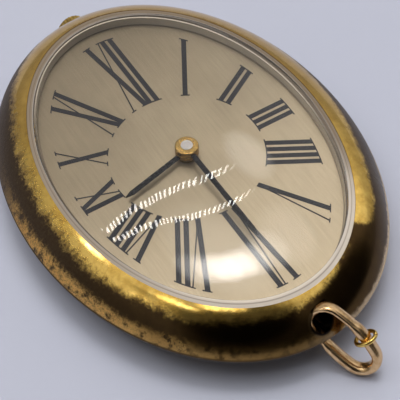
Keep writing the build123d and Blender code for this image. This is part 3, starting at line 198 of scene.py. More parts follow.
def feed(tree, shader, **sockets):
    """Link or set the shader's sockets; an underscore stands for a space in a socket's name."""
    for name, value in sockets.items():
        socket = shader.inputs[name.replace("_", " ")]
        if isinstance(value, bpy.types.NodeSocket):
            tree.links.new(value, socket)
        else:
            socket.default_value = value


def split(tree, vector):
    """The three parts of a vector."""
    return add(tree, "ShaderNodeSeparateXYZ", {"Vector": vector}).outputs


def dress(material, *names):
    """Give CAD nodes a finish."""
    for name in names:
        mesh = nodes[name].data
        mesh.materials.clear()
        mesh.materials.append(material)


def curve(tree, value, points):
    """A value read off a curve through the given points; both run from 0 to 1."""
    node = add(tree, "ShaderNodeFloatCurve", {"Value": value})
    line = node.mapping.curves[0]
    for place, height in points[1:-1]:
        line.points.new(place, height)
    line.points[0].location = points[0]
    line.points[-1].location = points[-1]
    for point in line.points:
        point.handle_type = "AUTO_CLAMPED"
    node.mapping.update()
    return node.outputs["Value"]


def round_curve(tree, turn, points):
    """A curve over the way round the case, in degrees from six towards nine."""
    return curve(tree, turn, [((angle + 180.0) / 360.0, height) for angle, height in points])


def way_round(tree, x, y):
    """The way round the case from 0 to 1, with six o'clock at a half and nine at three quarters."""
    turn = math_node(tree, "ARCTAN2", math_node(tree, "DIVIDE", x, -half_width),
                     math_node(tree, "DIVIDE", y, -half_length))
    return ramp(tree, turn, -math.pi, math.pi, interpolation="LINEAR")


def oval_reach(tree, x, y, inset):
    """How far out a point lies: 1 on the oval that lies an inset inside the case's outline."""
    across = math_node(tree, "DIVIDE", x, half_width - inset)
    along = math_node(tree, "DIVIDE", y, half_length - inset)
    return math_node(tree, "SQRT", plus(tree, times(tree, across, across), times(tree, along, along)))


def hole_shade(tree, point, colour):
    """The rim's colour, with painted shade at the mouth of the bail's hole and a painted shadow, nearly
    black, inside it.
    """
    mouth_painted_shade = (0.14, 0.09, 0.04)
    mouth_radii = (1.14, 1.26)
    mouth_depths = (-0.8, -0.5)
    hole_painted_shadow = (0.012, 0.009, 0.007)
    hole_radii = (1.00, 1.12)
    hole_depths = (-0.15, 0.15)
    lean = math.radians(hole_lean)
    axis = (0.0, -math.sin(lean), math.cos(lean))
    offset = add(tree, "ShaderNodeVectorMath", {0: point, 1: hole_mouth}, operation="SUBTRACT").outputs[0]
    depth = measure(tree, "DOT_PRODUCT", offset, axis)
    on_axis = add(tree, "ShaderNodeVectorMath", {0: axis, "Scale": depth}, operation="SCALE").outputs[0]
    away = measure(tree, "DISTANCE", offset, on_axis)
    mouth = times(tree, ramp(tree, away, *mouth_radii, start=0.85, end=0.0), ramp(tree, depth, *mouth_depths))
    inside = times(tree, fall(tree, away, *hole_radii), fall(tree, depth, *hole_depths))
    # Painted shade at the hole's mouth, then painted shadow deeper in
    colour = blend_colour(tree, mouth, colour, mouth_painted_shade)
    return blend_colour(tree, inside, colour, hole_painted_shadow)


def worn_and_painted_reflection_share(tree, turn, climb, stray, raggedness):
    """Where the gilding is worn off, and where its brown also stands for a painted dark reflection on the
    near side: below a line between the outer edge at 0 and the lip at 1.
    """
    line = round_curve(tree, turn, (
        (-180, 0.40), (-150, 0.36), (-120, 0.42), (-100, 0.55), (-80, 0.66), (-62, 0.72), (-50, 0.68),
        (-45, 0.69), (-41, 0.74), (-37, 0.87), (-33, 1.03), (-18, 0.98), (0, 0.90), (20, 0.84), (35, 0.78),
        (55, 0.75), (67, 0.76), (76, 0.79), (90, 0.82), (105, 0.85), (120, 0.80), (135, 0.66), (150, 0.52),
        (165, 0.44), (180, 0.40)))
    sharpest = 0.02
    ragged_softness = 0.11
    below = minus(tree, plus(tree, line, stray), climb)
    softness = plus(tree, times(tree, raggedness, ragged_softness), sharpest)
    return ramp(tree, below, times(tree, softness, -1.0), softness)


def copper_share(tree, turn, climb, stray, mottle, grain):
    """Where copper shows: low down from seven to nine o'clock, with dark pits in it."""
    copper_part = round_curve(tree, turn, (
        (-180, 0.0), (-20, 0.0), (5, 0.15), (30, 0.35), (50, 0.7), (65, 1.0), (88, 1.0), (104, 0.3),
        (125, 0.0), (180, 0.0)))
    pit_part = round_curve(tree, turn, ((-180, 0.3), (30, 0.3), (55, 0.5), (75, 1.0), (180, 1.0)))
    stray_share = 0.8
    ragged_climb = plus(tree, climb, times(tree, stray, stray_share))
    band = times(tree, ramp(tree, climb, 0.02, 0.07), fall(tree, ragged_climb, 0.26, 0.46))
    share = times(tree, times(tree, band, copper_part), ramp(tree, mottle, 0.36, 0.52))
    pits = times(tree, ramp(tree, grain, 0.50, 0.58, start=0.0, end=0.85), pit_part)
    return times(tree, share, minus(tree, 1.0, pits))


def painted_highlight_share(tree, turn, climb, stray):
    """A painted highlight along the lowest strip of the rim: from three to six o'clock."""
    part = round_curve(tree, turn, (
        (-180, 0.0), (-95, 0.0), (-70, 0.5), (-45, 1.0), (-20, 0.8), (-5, 0.3), (15, 0.0), (180, 0.0)))
    return times(tree, part, ramp(tree, plus(tree, climb, stray), 0.08, 0.20, start=0.8, end=0.0))


def worn_gilt_with_painted_light():
    """The rim's gilding: polished inside, rubbed to brown metal outside, coppery and pitted low down; with a
    painted highlight on the lowest strip, painted shade on the far side and painted dark reflection in the
    near side's brown.
    """
    edge_brown = (0.10, 0.065, 0.035)
    edge_height = 0.05
    edge_strength = 0.75
    # Colour of the painted highlight on the lowest strip
    painted_highlight_colour = (0.80, 0.60, 0.36)
    pattern_middle = 0.5
    stray_reach = 0.95
    drift_reach = 0.22
    material, tree, shader = new_material("worn_gilt_with_painted_light")
    point = place_mm(tree)
    x, y, z = split(tree, point)
    turn = way_round(tree, x, y)
    climb = ramp(tree, z, edge_level, lip_level, interpolation="LINEAR")
    cloud = noise(tree, point, scale=0.30, detail=4.0, rough=0.6, distortion=0.4)
    mottle = noise(tree, point, scale=1.1, detail=7.0, rough=0.66, distortion=0.15)
    speck = noise(tree, point, scale=4.2, detail=6.0, rough=0.75)
    fine = noise(tree, point, scale=16.0, detail=4.0, rough=0.7)

    # The edges of worn patches stray from their lines, most of all from eight to twelve o'clock
    raggedness = round_curve(tree, turn, (
        (-180, 0.6), (-70, 0.5), (-50, 0.4), (-38, 0.35), (-26, 0.3), (0, 0.4), (40, 0.5), (60, 0.65),
        (80, 0.9), (110, 1.0), (180, 0.8)))
    stray = minus(tree, mingle(tree, 0.5, mottle, speck), pattern_middle)
    stray = times(tree, stray, times(tree, raggedness, stray_reach))
    stray = plus(tree, stray, times(tree, minus(tree, cloud, pattern_middle), drift_reach))
    worn = worn_and_painted_reflection_share(tree, turn, climb, stray, raggedness)
    copper = copper_share(tree, turn, climb, stray, mottle, mingle(tree, 0.45, speck, fine))
    # A painted highlight along the lowest strip of the rim, from three to six o'clock
    rubbed = painted_highlight_share(tree, turn, climb, stray)

    # Painted shade: the gold is darker from ten over twelve to three o'clock
    far = round_curve(tree, turn, (
        (-180, 1.0), (-110, 1.0), (-85, 0.7), (-60, 0.1), (-40, 0.0), (95, 0.0), (125, 0.7), (180, 1.0)))
    shade = ramp(tree, mingle(tree, 0.7, mottle, cloud), 0.35, 0.65)
    bright_gold = blend_colour(tree, shade, (0.93, 0.63, 0.17), (0.70, 0.43, 0.09))
    far_painted_shade_gold = blend_colour(tree, mottle, (0.72, 0.46, 0.13), (0.40, 0.24, 0.06))
    gold = blend_colour(tree, far, bright_gold, far_painted_shade_gold)

    # The brown metal is glossy from four over six to eight o'clock and matt elsewhere; the glossy brown is
    # partly painted dark reflection
    gloss = round_curve(tree, turn, (
        (-180, 0.1), (-95, 0.15), (-62, 0.5), (-48, 0.95), (-20, 1.0), (25, 1.0), (45, 0.75), (70, 0.40),
        (95, 0.05), (180, 0.0)))
    matt_brown = blend_colour(tree, speck, (0.150, 0.100, 0.055), (0.040, 0.025, 0.015))
    glossy_brown_and_painted_reflection = blend_colour(tree, mottle, (0.115, 0.070, 0.022), (0.045, 0.022, 0.011))
    brown = blend_colour(tree, gloss, matt_brown, glossy_brown_and_painted_reflection)

    copper_tone = blend_colour(tree, cloud, (1.0, 0.64, 0.21), (0.66, 0.36, 0.10))
    edge = ramp(tree, math_node(tree, "ABSOLUTE", climb), 0.0, edge_height, start=edge_strength, end=0.0)
    colour = blend_colour(tree, worn, gold, brown)
    colour = blend_colour(tree, copper, colour, copper_tone)
    colour = blend_colour(tree, edge, colour, edge_brown)
    colour = blend_colour(tree, rubbed, colour, painted_highlight_colour)

    # Gold is polished, and copper and the painted highlight strip are a little duller than what they lie on
    gold_rough = plus(tree, times(tree, mottle, 0.12), 0.07)
    worn_rough = ramp(tree, gloss, 0.0, 1.0, start=0.50, end=0.17, interpolation="LINEAR")
    rough = add(tree, "ShaderNodeMix", {0: worn, 2: gold_rough, 3: worn_rough}).outputs[0]
    rough = plus(tree, rough, times(tree, math_node(tree, "MAXIMUM", copper, rubbed), 0.14))

    # Matt brown metal is pitted, and all of the rim is a little uneven
    pitted = times(tree, worn, minus(tree, 1.05, gloss))
    relief = times(tree, plus(tree, speck, times(tree, fine, 0.5)), pitted)
    relief = plus(tree, relief, times(tree, mottle, 0.10))
    feed(tree, shader, Base_Color=hole_shade(tree, point, colour), Metallic=1.0, Roughness=rough)
    bump(tree, shader, relief, distance=0.05, strength=0.55)
    return material


def plain_gilt(name, gold, shade, rough):
    """Gilding on the small pieces, mottled a little darker at random."""
    material, tree, shader = new_material(name)
    mottle = noise(tree, place_mm(tree), scale=2.2, detail=6.0, rough=0.65, distortion=0.3)
    fine = noise(tree, place_mm(tree, (6.0, 1.0, 1.0), (0.3, 0.2, 0.5)), scale=4.0, detail=3.0, rough=0.6)
    colour = blend_colour(tree, ramp(tree, mottle, 0.35, 0.75), gold, shade)
    feed(tree, shader, Base_Color=colour, Metallic=1.0, Roughness=plus(tree, times(tree, fine, 0.18), rough))
    bump(tree, shader, fine, distance=0.006, strength=0.15)
    return material


def back_gilt():
    """The snap-on back: satin gilding with a fine grain, hairlines and rubbed patches."""
    gold = (0.82, 0.58, 0.25)
    dark_gold = (0.66, 0.44, 0.17)
    bare_brass = (0.42, 0.28, 0.13)
    material, tree, shader = new_material("back_gilt")
    grain = noise(tree, place_mm(tree, (0.25, 7.0, 1.0)), scale=1.0, detail=5.0, rough=0.7)
    hairline = noise(tree, place_mm(tree, (14.0, 0.5, 1.0), (0.0, 0.0, 0.7)), scale=1.0, detail=6.0,
                     rough=0.8)
    cloud = noise(tree, place_mm(tree), scale=0.16, detail=5.0, rough=0.65, distortion=0.4)
    colour = blend_colour(tree, ramp(tree, grain, 0.3, 0.7), gold, dark_gold)
    colour = blend_colour(tree, ramp(tree, cloud, 0.50, 0.70, start=0.0, end=0.6), colour, bare_brass)
    rough = ramp(tree, cloud, 0.3, 0.7, start=0.26, end=0.44)
    feed(tree, shader, Base_Color=colour, Metallic=1.0, Roughness=rough)
    bump(tree, shader, plus(tree, grain, ramp(tree, hairline, 0.60, 0.70)), distance=0.006, strength=0.5)
    return material


def brushed_dial():
    """The champagne dial with its fine upright grain, and painted light that makes it paler towards six
    o'clock, with a painted shadow line at its edge.
    """
    painted_shade_champagne = (0.215, 0.170, 0.110)
    painted_light_champagne = (0.490, 0.398, 0.268)
    edge_painted_shadow = (0.11, 0.085, 0.06)
    grain_shade = (0.86, 0.86, 0.85)
    full_tone = (1.0, 1.0, 1.0)
    painted_light_across = 0.010
    painted_light_down = 0.030
    material, tree, shader = new_material("brushed_dial")
    point = place_mm(tree)
    x, y = split(tree, point)[:2]
    grain = noise(tree, place_mm(tree, (6.0, 0.22, 1.0)), scale=1.0, detail=6.0, rough=0.75)
    cloud = noise(tree, point, scale=0.14, detail=3.0, rough=0.5)
    # Painted light: paler towards six o'clock and a little towards three, broken up by a broad random cloud
    slope = minus(tree, times(tree, x, painted_light_across), times(tree, y, painted_light_down))
    slope = plus(tree, slope, times(tree, cloud, 0.5))
    base = blend_colour(tree, ramp(tree, slope, -0.25, 0.75), painted_shade_champagne, painted_light_champagne)
    # Painted shadow: a thin dark line on the dial along the ring
    from_border = math_node(tree, "ABSOLUTE", minus(tree, oval_reach(tree, x, y, ring_line_inset), 1.0))
    border = fall(tree, from_border, 0.002, 0.006)
    base = blend_colour(tree, times(tree, border, 0.7), base, edge_painted_shadow)
    lines = blend_colour(tree, ramp(tree, grain, 0.34, 0.66), grain_shade, full_tone)
    both = add(tree, "ShaderNodeMix", {0: 1.0, 6: base, 7: lines}, data_type="RGBA", blend_type="MULTIPLY")
    feed(tree, shader, Base_Color=both.outputs[2], Metallic=0.55,
         Roughness=ramp(tree, grain, 0.2, 0.8, start=0.40, end=0.54))
    bump(tree, shader, grain, distance=0.006, strength=0.45)
    return material


def ink(name, colour, rough):
    """Printed or lacquered black, with a slight unevenness."""
    material, tree, shader = new_material(name)
    tone = noise(tree, place_mm(tree), scale=3.0, detail=5.0, rough=0.6)
    paler = tuple(value * 1.8 + 0.002 for value in colour)
    feed(tree, shader, Base_Color=blend_colour(tree, tone, colour, paler),
         Roughness=ramp(tree, tone, 0.2, 0.8, start=rough, end=rough + 0.12), Specular_IOR_Level=0.3)
    return material


def metal(name, colour, shade, rough, grain=(1.0, 1.0, 1.0), grain_scale=3.0, depth=0.004):
    """A worked metal whose tone, polish and relief follow one grain."""
    material, tree, shader = new_material(name)
    lines = noise(tree, place_mm(tree, grain), scale=grain_scale, detail=4.0, rough=0.65)
    feed(tree, shader, Base_Color=blend_colour(tree, lines, colour, shade), Metallic=1.0,
         Roughness=ramp(tree, lines, 0.2, 0.8, start=rough, end=rough + 0.15))
    bump(tree, shader, lines, distance=depth, strength=0.4)
    return material


def satin_ring():
    """The beige satin ring round the dial; its top edge has painted shade from three over six to ten o'clock.
    """
    pale_beige = (0.66, 0.58, 0.47)
    dark_beige = (0.54, 0.46, 0.36)
    top_painted_shade = (0.11, 0.085, 0.06)
    material, tree, shader = new_material("satin_ring")
    lines = noise(tree, place_mm(tree, (1.0, 1.0, 9.0)), scale=2.0, detail=4.0, rough=0.6)
    x, y, z = split(tree, place_mm(tree))
    near = round_curve(tree, way_round(tree, x, y), (
        (-180, 0.15), (-110, 0.15), (-75, 0.8), (-50, 1.0), (110, 1.0), (140, 0.4), (180, 0.15)))
    top = ramp(tree, z, ring_top - 0.10, ring_top - 0.04)
    wall = blend_colour(tree, lines, pale_beige, dark_beige)
    rough = plus(tree, ramp(tree, lines, 0.2, 0.8, start=0.28, end=0.42), times(tree, top, 0.3))
    # Painted shade on the top edge on the near side
    feed(tree, shader, Base_Color=blend_colour(tree, times(tree, top, near), wall, top_painted_shade),
         Roughness=rough, Specular_IOR_Level=ramp(tree, top, 0.0, 1.0, start=0.4, end=0.1))
    bump(tree, shader, lines, distance=0.004, strength=0.4)
    return material


def ruby():
    """The synthetic ruby of jewels and pallets."""
    material, tree, shader = new_material("ruby")
    depth = noise(tree, place_mm(tree), scale=2.0, detail=2.0, rough=0.5)
    feed(tree, shader, Base_Color=blend_colour(tree, depth, (0.55, 0.01, 0.08), (0.80, 0.05, 0.18)),
         Roughness=0.06, Transmission_Weight=0.4)
    return material


def rubber():
    """The gasket's matt black."""
    material, tree, shader = new_material("gasket_rubber")
    tone = noise(tree, place_mm(tree), scale=5.0, detail=4.0, rough=0.6)
    feed(tree, shader, Base_Color=blend_colour(tree, tone, (0.02, 0.02, 0.02), (0.05, 0.05, 0.05)),
         Roughness=0.8)
    bump(tree, shader, tone, distance=0.02, strength=0.4)
    return material


def acrylic(name, shine):
    """The clear crystal, with hairline scratches; its rim, in the case's groove, is duller and less clear,
    with painted light on the near side, painted shade on the far side and a thin dark line.
    """
    clear_white = (0.985, 0.98, 0.97)
    rim_painted_shade = (0.27, 0.21, 0.15)
    rim_painted_light = (0.72, 0.64, 0.55)
    line_brown = (0.14, 0.10, 0.07)
    faint_grey = (0.96, 0.96, 0.96, 1.0)
    rim_reach = (0.958, 0.966)
    line_reach = 0.979
    line_edge = (0.001, 0.005)
    material, tree, shader = new_material(name)
    x, y = split(tree, place_mm(tree))[:2]
    out = oval_reach(tree, x, y, crystal_inset)
    scratch = noise(tree, place_mm(tree, (1.0, 14.0, 1.0), (0.0, 0.0, 0.5)), scale=1.2, detail=6.0,
                    rough=0.75)
    rim = ramp(tree, out, *rim_reach)
    # Painted light on the rim's near side and painted shade on its far side
    near = round_curve(tree, way_round(tree, x, y), (
        (-180, 0.0), (-75, 0.05), (-50, 0.8), (-30, 1.0), (20, 1.0), (50, 0.7), (70, 0.4), (95, 0.25),
        (125, 0.1), (180, 0.0)))
    from_line = math_node(tree, "ABSOLUTE", minus(tree, out, line_reach))
    edge = blend_colour(tree, near, rim_painted_shade, rim_painted_light)
    edge = blend_colour(tree, ramp(tree, from_line, *line_edge, start=0.45, end=0.0), edge, line_brown)
    feed(tree, shader, Base_Color=blend_colour(tree, rim, clear_white, edge), Roughness=0.0, IOR=1.0,
         Transmission_Weight=ramp(tree, rim, 0.0, 1.0, start=1.0, end=0.25),
         Coat_Weight=times(tree, minus(tree, 1.0, times(tree, rim, 0.9)), shine),
         Coat_Roughness=ramp(tree, scratch, 0.55, 0.75, start=0.002, end=0.014), Coat_IOR=1.49)
    through = add(tree, "ShaderNodeBsdfTransparent", {"Color": faint_grey})
    path = add(tree, "ShaderNodeLightPath")
    passing = math_node(tree, "MAXIMUM", path.outputs["Is Shadow Ray"], path.outputs["Is Diffuse Ray"])
    both = add(tree, "ShaderNodeMixShader",
               {0: passing, 1: shader.outputs["BSDF"], 2: through.outputs["BSDF"]})
    output = next(node for node in tree.nodes if node.type == "OUTPUT_MATERIAL")
    tree.links.new(both.outputs["Shader"], output.inputs["Surface"])
    return material


def dress_crystal():
    """A bright finish on the crystal's outside and a quiet one on its hollow inside."""
    upright_slope = 0.05
    mesh = nodes["crystal"].data
    mesh.materials.clear()
    mesh.materials.append(acrylic("acrylic_outside", shine=1.0))
    mesh.materials.append(acrylic("acrylic_inside", shine=0.0))
    for face in mesh.polygons:
        outwards = face.normal.x * face.center.x + face.normal.y * face.center.y
        inner_wall = abs(face.normal.z) < upright_slope and outwards < 0
        face.material_index = 1 if face.normal.z < -upright_slope or inner_wall else 0


def dress_all():
    """Every carried-over node's finish."""
    dress(worn_gilt_with_painted_light(), "case_shell")
    dress(back_gilt(), "case_back")
    dress(plain_gilt("crown_gilt", (0.58, 0.40, 0.11), (0.22, 0.14, 0.05), rough=0.26), "crown", "crown_tube")
    dress(plain_gilt("boss_gilt", (0.52, 0.34, 0.11), (0.34, 0.20, 0.06), rough=0.16),
          "hour_hand_boss", "minute_hand_boss")
    dress(brushed_dial(), "dial")
    dress(ink("numeral_ink", (0.004, 0.004, 0.007), rough=0.45), "numerals")
    dress(ink("hand_black", (0.003, 0.003, 0.005), rough=0.20), "hour_hand_blade", "minute_hand_blade")
    dress_crystal()
    dress(satin_ring(), "reflector_ring")
    dress(metal("nickel", (0.72, 0.69, 0.62), (0.60, 0.57, 0.50), rough=0.24, grain=(12.0, 1.0, 1.0)),
          "main_plate", "barrel_bridge", "train_bridge", "balance_cock", "pallet_bridge")
    dress(metal("train_brass", (0.83, 0.62, 0.27), (0.70, 0.50, 0.19), rough=0.22, grain=(2.0, 2.0, 1.0)),
          "barrel_drum", "barrel_cover", "centre_wheel", "third_wheel", "fourth_wheel", "balance_wheel",
          "roller_table", "minute_wheel", "hour_wheel", "setting_wheel")
    dress(metal("blued_steel", (0.16, 0.19, 0.30), (0.10, 0.12, 0.22), rough=0.20),
          "hairspring", "bridge_screws", "clamp_screws", "dial_foot_screws", "ratchet_screw",
          "crown_wheel_screw")
    dress(metal("polished_steel", (0.74, 0.74, 0.75), (0.60, 0.60, 0.62), rough=0.14, grain=(6.0, 1.0, 1.0)),
          "case_clamps", "barrel_arbor", "mainspring", "ratchet_wheel", "crown_wheel", "click",
          "click_spring", "escape_wheel", "pallet_fork", "balance_staff", "hairspring_stud", "regulator",
          "plate_posts", "winding_stem", "winding_pinion", "sliding_clutch", "setting_lever", "yoke",
          "setting_arbor")
    dress(metal("pinion_steel", (0.50, 0.47, 0.46), (0.40, 0.38, 0.37), rough=0.34),
          "cannon_pinion", "centre_arbor")
    dress(metal("cast_holder", (0.70, 0.70, 0.70), (0.60, 0.60, 0.61), rough=0.38, grain_scale=6.0,
                depth=0.02), "movement_holder")
    dress(rubber(), "back_gasket")
    dress(ruby(), "jewels", "pallet_stones")


def mesh_object(name, rings, material, closed=True):
    """A smooth tube over rings of points in millimetres; each ring is a closed loop."""
    count = len(rings[0])
    vertices = [tuple(value * mm for value in point) for ring in rings for point in ring]
    faces = []
    last = len(rings) if closed else len(rings) - 1
    for index in range(last):
        after = (index + 1) % len(rings)
        for corner in range(count):
            beside = (corner + 1) % count
            faces.append((index * count + corner, after * count + corner, after * count + beside,
                          index * count + beside))
    if not closed:
        faces.append(tuple(range(count)))
        faces.append(tuple(reversed(range((len(rings) - 1) * count, len(rings) * count))))
    mesh = bpy.data.meshes.new(name)
    mesh.from_pydata(vertices, [], faces)
    mesh.materials.append(material)
    for face in mesh.polygons:
        face.use_smooth = len(face.vertices) == 4
    mesh.update()
    made = bpy.data.objects.new(name, mesh)
    bpy.context.scene.collection.objects.link(made)
    return made


def bail_frame():
    """The bail's own plane: X along its length, outwards, and Z across its band."""
    place = Matrix.Translation(bail_hinge)
    for angle, axis in bail_turns:
        place = place @ Matrix.Rotation(math.radians(angle), 4, axis)
    return place


def bail_side():
    """How far the bail's middle lies out, its long side's radius, and that arc's centre."""
    reach = bail_half_length - bail_end_radius
    radius = ((reach**2 + bail_half_width**2 - bail_end_radius**2)
              / (2 * (bail_half_width - bail_end_radius)))
    return reach, radius, radius - bail_half_width


def bail_path():
    """Points round the bail's oval with the outward direction at each."""
    reach, side, offset = bail_side()
    lean = math.atan2(offset, reach)
    arcs = (((2 * reach, 0.0), bail_end_radius, -lean, lean),
            ((reach, -offset), side, lean, math.pi - lean),
            ((0.0, 0.0), bail_end_radius, math.pi - lean, math.pi + lean),
            ((reach, offset), side, math.pi + lean, 2 * math.pi - lean))
    path = []
    for (x, y), radius, first, last in arcs:
        steps = max(8, int(bail_points_per_mm * radius * (last - first)))
        for step in range(steps):
            angle = first + (last - first) * step / steps
            out = (math.cos(angle), math.sin(angle))
            path.append(((x + radius * out[0], y + radius * out[1]), out))
    return path


def make_bail(material):
    """The bail: a rounded band bent into an oval, fuller outside the case than in its hole."""
    place = bail_frame()
    rings = []
    for (x, y), out in bail_path():
        share = min(1.0, max(0.0, (x - bail_flare_start) / bail_flare_length))
        share *= share * (3.0 - 2.0 * share)
        thickness = bail_thickness * (1.0 + bail_fullness * share)
        width = bail_width * (1.0 + bail_flare * share)
        ring = []
        for corner in range(bail_corners):
            angle = 2 * math.pi * corner / bail_corners
            across = math.copysign(abs(math.sin(angle))**bail_side_power, math.sin(angle)) * width / 2
            lift = math.copysign(abs(math.cos(angle))**bail_face_power, math.cos(angle)) * thickness / 2
            ring.append(place @ Vector((x + out[0] * lift, y + out[1] * lift, across)))
        rings.append(ring)
    made = mesh_object("bail_band", rings, material)
    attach(made, "bail")
    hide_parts("bail_link")


def make_ring(material):
    """The round jump ring on the bail, bent from wire with its ends nearly closed."""
    reach, side, offset = bail_side()
    place = (bail_frame() @ Matrix.Translation((reach, offset, 0.0))
             @ Matrix.Rotation(math.radians(ring_angle), 4, "Z")
             @ Matrix.Translation((0.0, -side, 0.0)) @ Matrix.Rotation(math.radians(90.0), 4, "X")
             @ Matrix.Rotation(math.radians(90.0 + ring_tilt), 4, "Y"))
    rings = []
    for step in range(ring_steps + 1):
        turn = math.pi + ring_gap + (2 * math.pi - 2 * ring_gap) * step / ring_steps
        out = Vector((math.cos(turn), math.sin(turn), 0.0))
        ring = []
        for corner in range(ring_corners):
            angle = 2 * math.pi * corner / ring_corners
            point = out * (ring_radius + ring_wire * math.cos(angle))
            point.z = ring_wire * math.sin(angle)
            ring.append(place @ point)
        rings.append(ring)
    made = mesh_object("chain_ring", rings, material, closed=False)
    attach(made, "ring")
    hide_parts("jump_ring")


def make_floor():
    """The pale table that the watch lies on."""
    shaded_white = (0.445, 0.46, 0.55)
    full_white = (0.475, 0.49, 0.575)
    mesh = bpy.data.meshes.new("table_top")
    corners = [(x * table_half_size, y * table_half_size, table_level)
               for x, y in ((-1, -1), (1, -1), (1, 1), (-1, 1))]
    mesh.from_pydata(corners, [], [(0, 1, 2, 3)])
    floor = bpy.data.objects.new("table_top", mesh)
    bpy.context.scene.collection.objects.link(floor)
    material, tree, shader = new_material("table_white")
    cloud = noise(tree, place_mm(tree), scale=0.02, detail=3.0, rough=0.5)
    feed(tree, shader, Base_Color=blend_colour(tree, cloud, shaded_white, full_white), Roughness=0.75,
         Specular_IOR_Level=0.2)
    mesh.materials.append(material)


def direction(azimuth, elevation):
    """A unit vector towards a place in the room, in degrees."""
    flat = math.cos(math.radians(elevation))
    return Vector((flat * math.cos(math.radians(azimuth)), flat * math.sin(math.radians(azimuth)),
                   math.sin(math.radians(elevation))))


def patch(tree, vector, azimuth, elevation, inner, outer, strength):
    """A round patch in the room: its strength within an angle of a direction, and 0 beyond a wider one."""
    aim = measure(tree, "DOT_PRODUCT", vector, tuple(direction(azimuth, elevation)))
    round_part = ramp(tree, aim, math.cos(math.radians(outer)), math.cos(math.radians(inner)))
    return times(tree, round_part, strength)


# The ceiling's light: the heights where it starts to rise and where it is full, and its strength there
ceiling_heights = (0.02, 0.80)
ceiling_strengths = (0.26, 0.72)
room_white = (1.0, 0.985, 0.965, 1.0)

# A faint glow low down: azimuth, elevation, full within, gone beyond, strength
low_glow = (50.0, 5.0, 30.0, 70.0, 0.12)

# Dark places in the room: azimuth, elevation, full within, gone beyond, share of the light kept away
dark_places = (
    (-120.0, 50.0, 24.0, 40.0, 0.92),
    (-110.0, 15.0, 30.0, 50.0, 0.84),
    (-40.0, 22.0, 22.0, 34.0, 0.90),
    (165.0, 8.0, 20.0, 34.0, 0.60),
    (80.0, 45.0, 18.0, 34.0, 0.40),
    (128.0, 33.0, 8.0, 26.0, 0.30),
    (173.0, 55.0, 2.0, 4.5, 0.55),
)

# Bright places that show in rim and crystal: azimuth, elevation, full within, gone beyond, strength
bright_places = (
    (140.7, 52.5, 1.0, 3.2, 9.0),
    (-178.0, 62.0, 1.5, 5.0, 3.0),
    (-165.0, 63.0, 1.0, 4.0, 2.5),
    (-155.0, 73.0, 1.5, 5.0, 3.0),
    (-128.0, 76.0, 1.5, 5.0, 2.0),
    (178.0, 47.0, 1.0, 3.0, 1.2),
    (4.0, 25.0, 6.0, 12.0, 0.26),
    (45.0, 50.5, 1.0, 5.0, 2.5),
    (92.0, 77.0, 0.5, 5.0, 4.0),
    (75.0, 77.5, 0.5, 4.6, 7.0),
    (60.0, 77.0, 0.5, 4.6, 11.0),
    (60.0, 74.0, 1.0, 13.0, 1.6),
    (47.0, 75.0, 0.5, 4.4, 10.0),
    (38.0, 72.5, 0.5, 4.6, 7.0),
    (31.0, 68.0, 0.5, 5.5, 3.4),
    (26.0, 62.0, 1.0, 8.0, 1.4),
)

# The two rows of small ceiling lights: azimuth and elevation along the line that each follows
upper_row = ((49.0, 54.0), (58.3, 58.0), (63.7, 59.4), (83.7, 62.3), (88.8, 62.4), (113.3, 61.2),
             (117.3, 60.0))
lower_row = ((43.3, 56.8), (48.7, 60.4), (55.2, 62.9), (61.9, 64.7), (71.8, 66.0), (84.8, 66.1),
             (110.5, 64.3), (119.1, 62.1))
upper_half_width = 0.68
lower_half_width = 0.62
row_pitch = 2.1
row_slant = -1.2
row_strength = 16.0


def dashes(tree, azimuth, elevation, line, row_half_width):
    """A row of short slanted bright strips along a line across the ceiling."""
    first_azimuth = 30.0
    azimuth_span = 100.0
    first_elevation = 50.0
    elevation_span = 20.0
    wide_from = 86.0
    wide_share = 0.62
    soft_from = 0.7
    stripe_edge = (0.18, 0.27)
    share = ramp(tree, azimuth, first_azimuth, first_azimuth + azimuth_span, interpolation="LINEAR")
    points = [((across - first_azimuth) / azimuth_span, (up - first_elevation) / elevation_span)
              for across, up in line]
    middle = plus(tree, times(tree, curve(tree, share, points), elevation_span), first_elevation)
    off = minus(tree, elevation, middle)
    band = fall(tree, math_node(tree, "ABSOLUTE", off), row_half_width * soft_from, row_half_width)
    past = math_node(tree, "MAXIMUM", minus(tree, azimuth, wide_from), 0.0)
    place = plus(tree, math_node(tree, "MINIMUM", azimuth, wide_from), times(tree, past, wide_share))
    phase = math_node(tree, "DIVIDE", plus(tree, place, times(tree, off, row_slant)), row_pitch)
    wave = math_node(tree, "ABSOLUTE", minus(tree, math_node(tree, "FRACT", phase), 0.5))
    stripe = fall(tree, wave, *stripe_edge)
    first, last = line[0][0], line[-1][0]
    ends = times(tree, ramp(tree, azimuth, first - 1.0, first + 5.0),
                 fall(tree, azimuth, last - 1.0, last + 1.0))
    return times(tree, times(tree, band, stripe), ends)


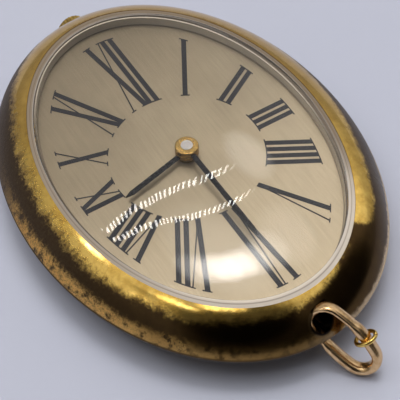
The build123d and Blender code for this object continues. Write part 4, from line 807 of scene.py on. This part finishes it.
def make_room():
    """The room's light by direction: pale overhead, dark low down and behind the camera."""
    to_degrees = 180.0 / math.pi
    world = bpy.data.worlds.new("room")
    bpy.context.scene.world = world
    world.use_nodes = True
    tree = world.node_tree
    tree.nodes.clear()
    output = tree.nodes.new("ShaderNodeOutputWorld")
    vector = add(tree, "ShaderNodeTexCoord").outputs["Generated"]
    x, y, height = split(tree, vector)
    azimuth = times(tree, math_node(tree, "ARCTAN2", y, x), to_degrees)
    elevation = times(tree, math_node(tree, "ARCSINE", height), to_degrees)
    sky = ramp(tree, height, *ceiling_heights, *ceiling_strengths)
    sky = plus(tree, sky, patch(tree, vector, *low_glow))
    for *place, share in dark_places:
        sky = times(tree, sky, minus(tree, 1.0, patch(tree, vector, *place, share)))
    for place in bright_places:
        sky = plus(tree, sky, patch(tree, vector, *place))
    for line, row_half_width in ((upper_row, upper_half_width), (lower_row, lower_half_width)):
        row = dashes(tree, azimuth, elevation, line, row_half_width)
        sky = plus(tree, sky, times(tree, row, row_strength))
    back = add(tree, "ShaderNodeBackground", {"Color": room_white, "Strength": sky})
    tree.links.new(back.outputs["Background"], output.inputs["Surface"])


def make_lamp(name, azimuth, elevation, distance, size, power):
    """One soft lamp that looks at the watch."""
    light = bpy.data.lights.new(name, "AREA")
    light.size = size
    light.energy = power
    lamp = bpy.data.objects.new(name, light)
    aim = direction(azimuth, elevation)
    lamp.location = aim * distance
    lamp.rotation_euler = aim.to_track_quat("Z", "Y").to_euler()
    lamp.visible_glossy = False
    lamp.visible_transmission = False
    bpy.context.scene.collection.objects.link(lamp)


def make_camera():
    """The photograph's own view."""
    data = bpy.data.cameras.new("photo_view")
    data.lens = camera_lens
    data.sensor_width = camera_sensor_width
    data.clip_start = 5.0 * mm
    camera = bpy.data.objects.new("photo_view", data)
    up = [-value for value in camera_down]
    back = [-value for value in camera_view]
    axes = Matrix((camera_right, up, back)).transposed().to_4x4()
    camera.matrix_world = Matrix.Translation(camera_place) @ axes
    bpy.context.scene.collection.objects.link(camera)
    bpy.context.scene.camera = camera


dress_all()
make_bail(plain_gilt("bail_gilt", (0.88, 0.60, 0.32), (0.58, 0.35, 0.15), rough=0.14))
make_ring(plain_gilt("ring_gilt", (0.88, 0.62, 0.18), (0.62, 0.40, 0.10), rough=0.15))
make_floor()
make_room()
make_lamp("key", azimuth=98.0, elevation=74.0, distance=0.6, size=0.70, power=2.45)
make_camera()
bpy.context.scene.view_settings.view_transform = "Standard"
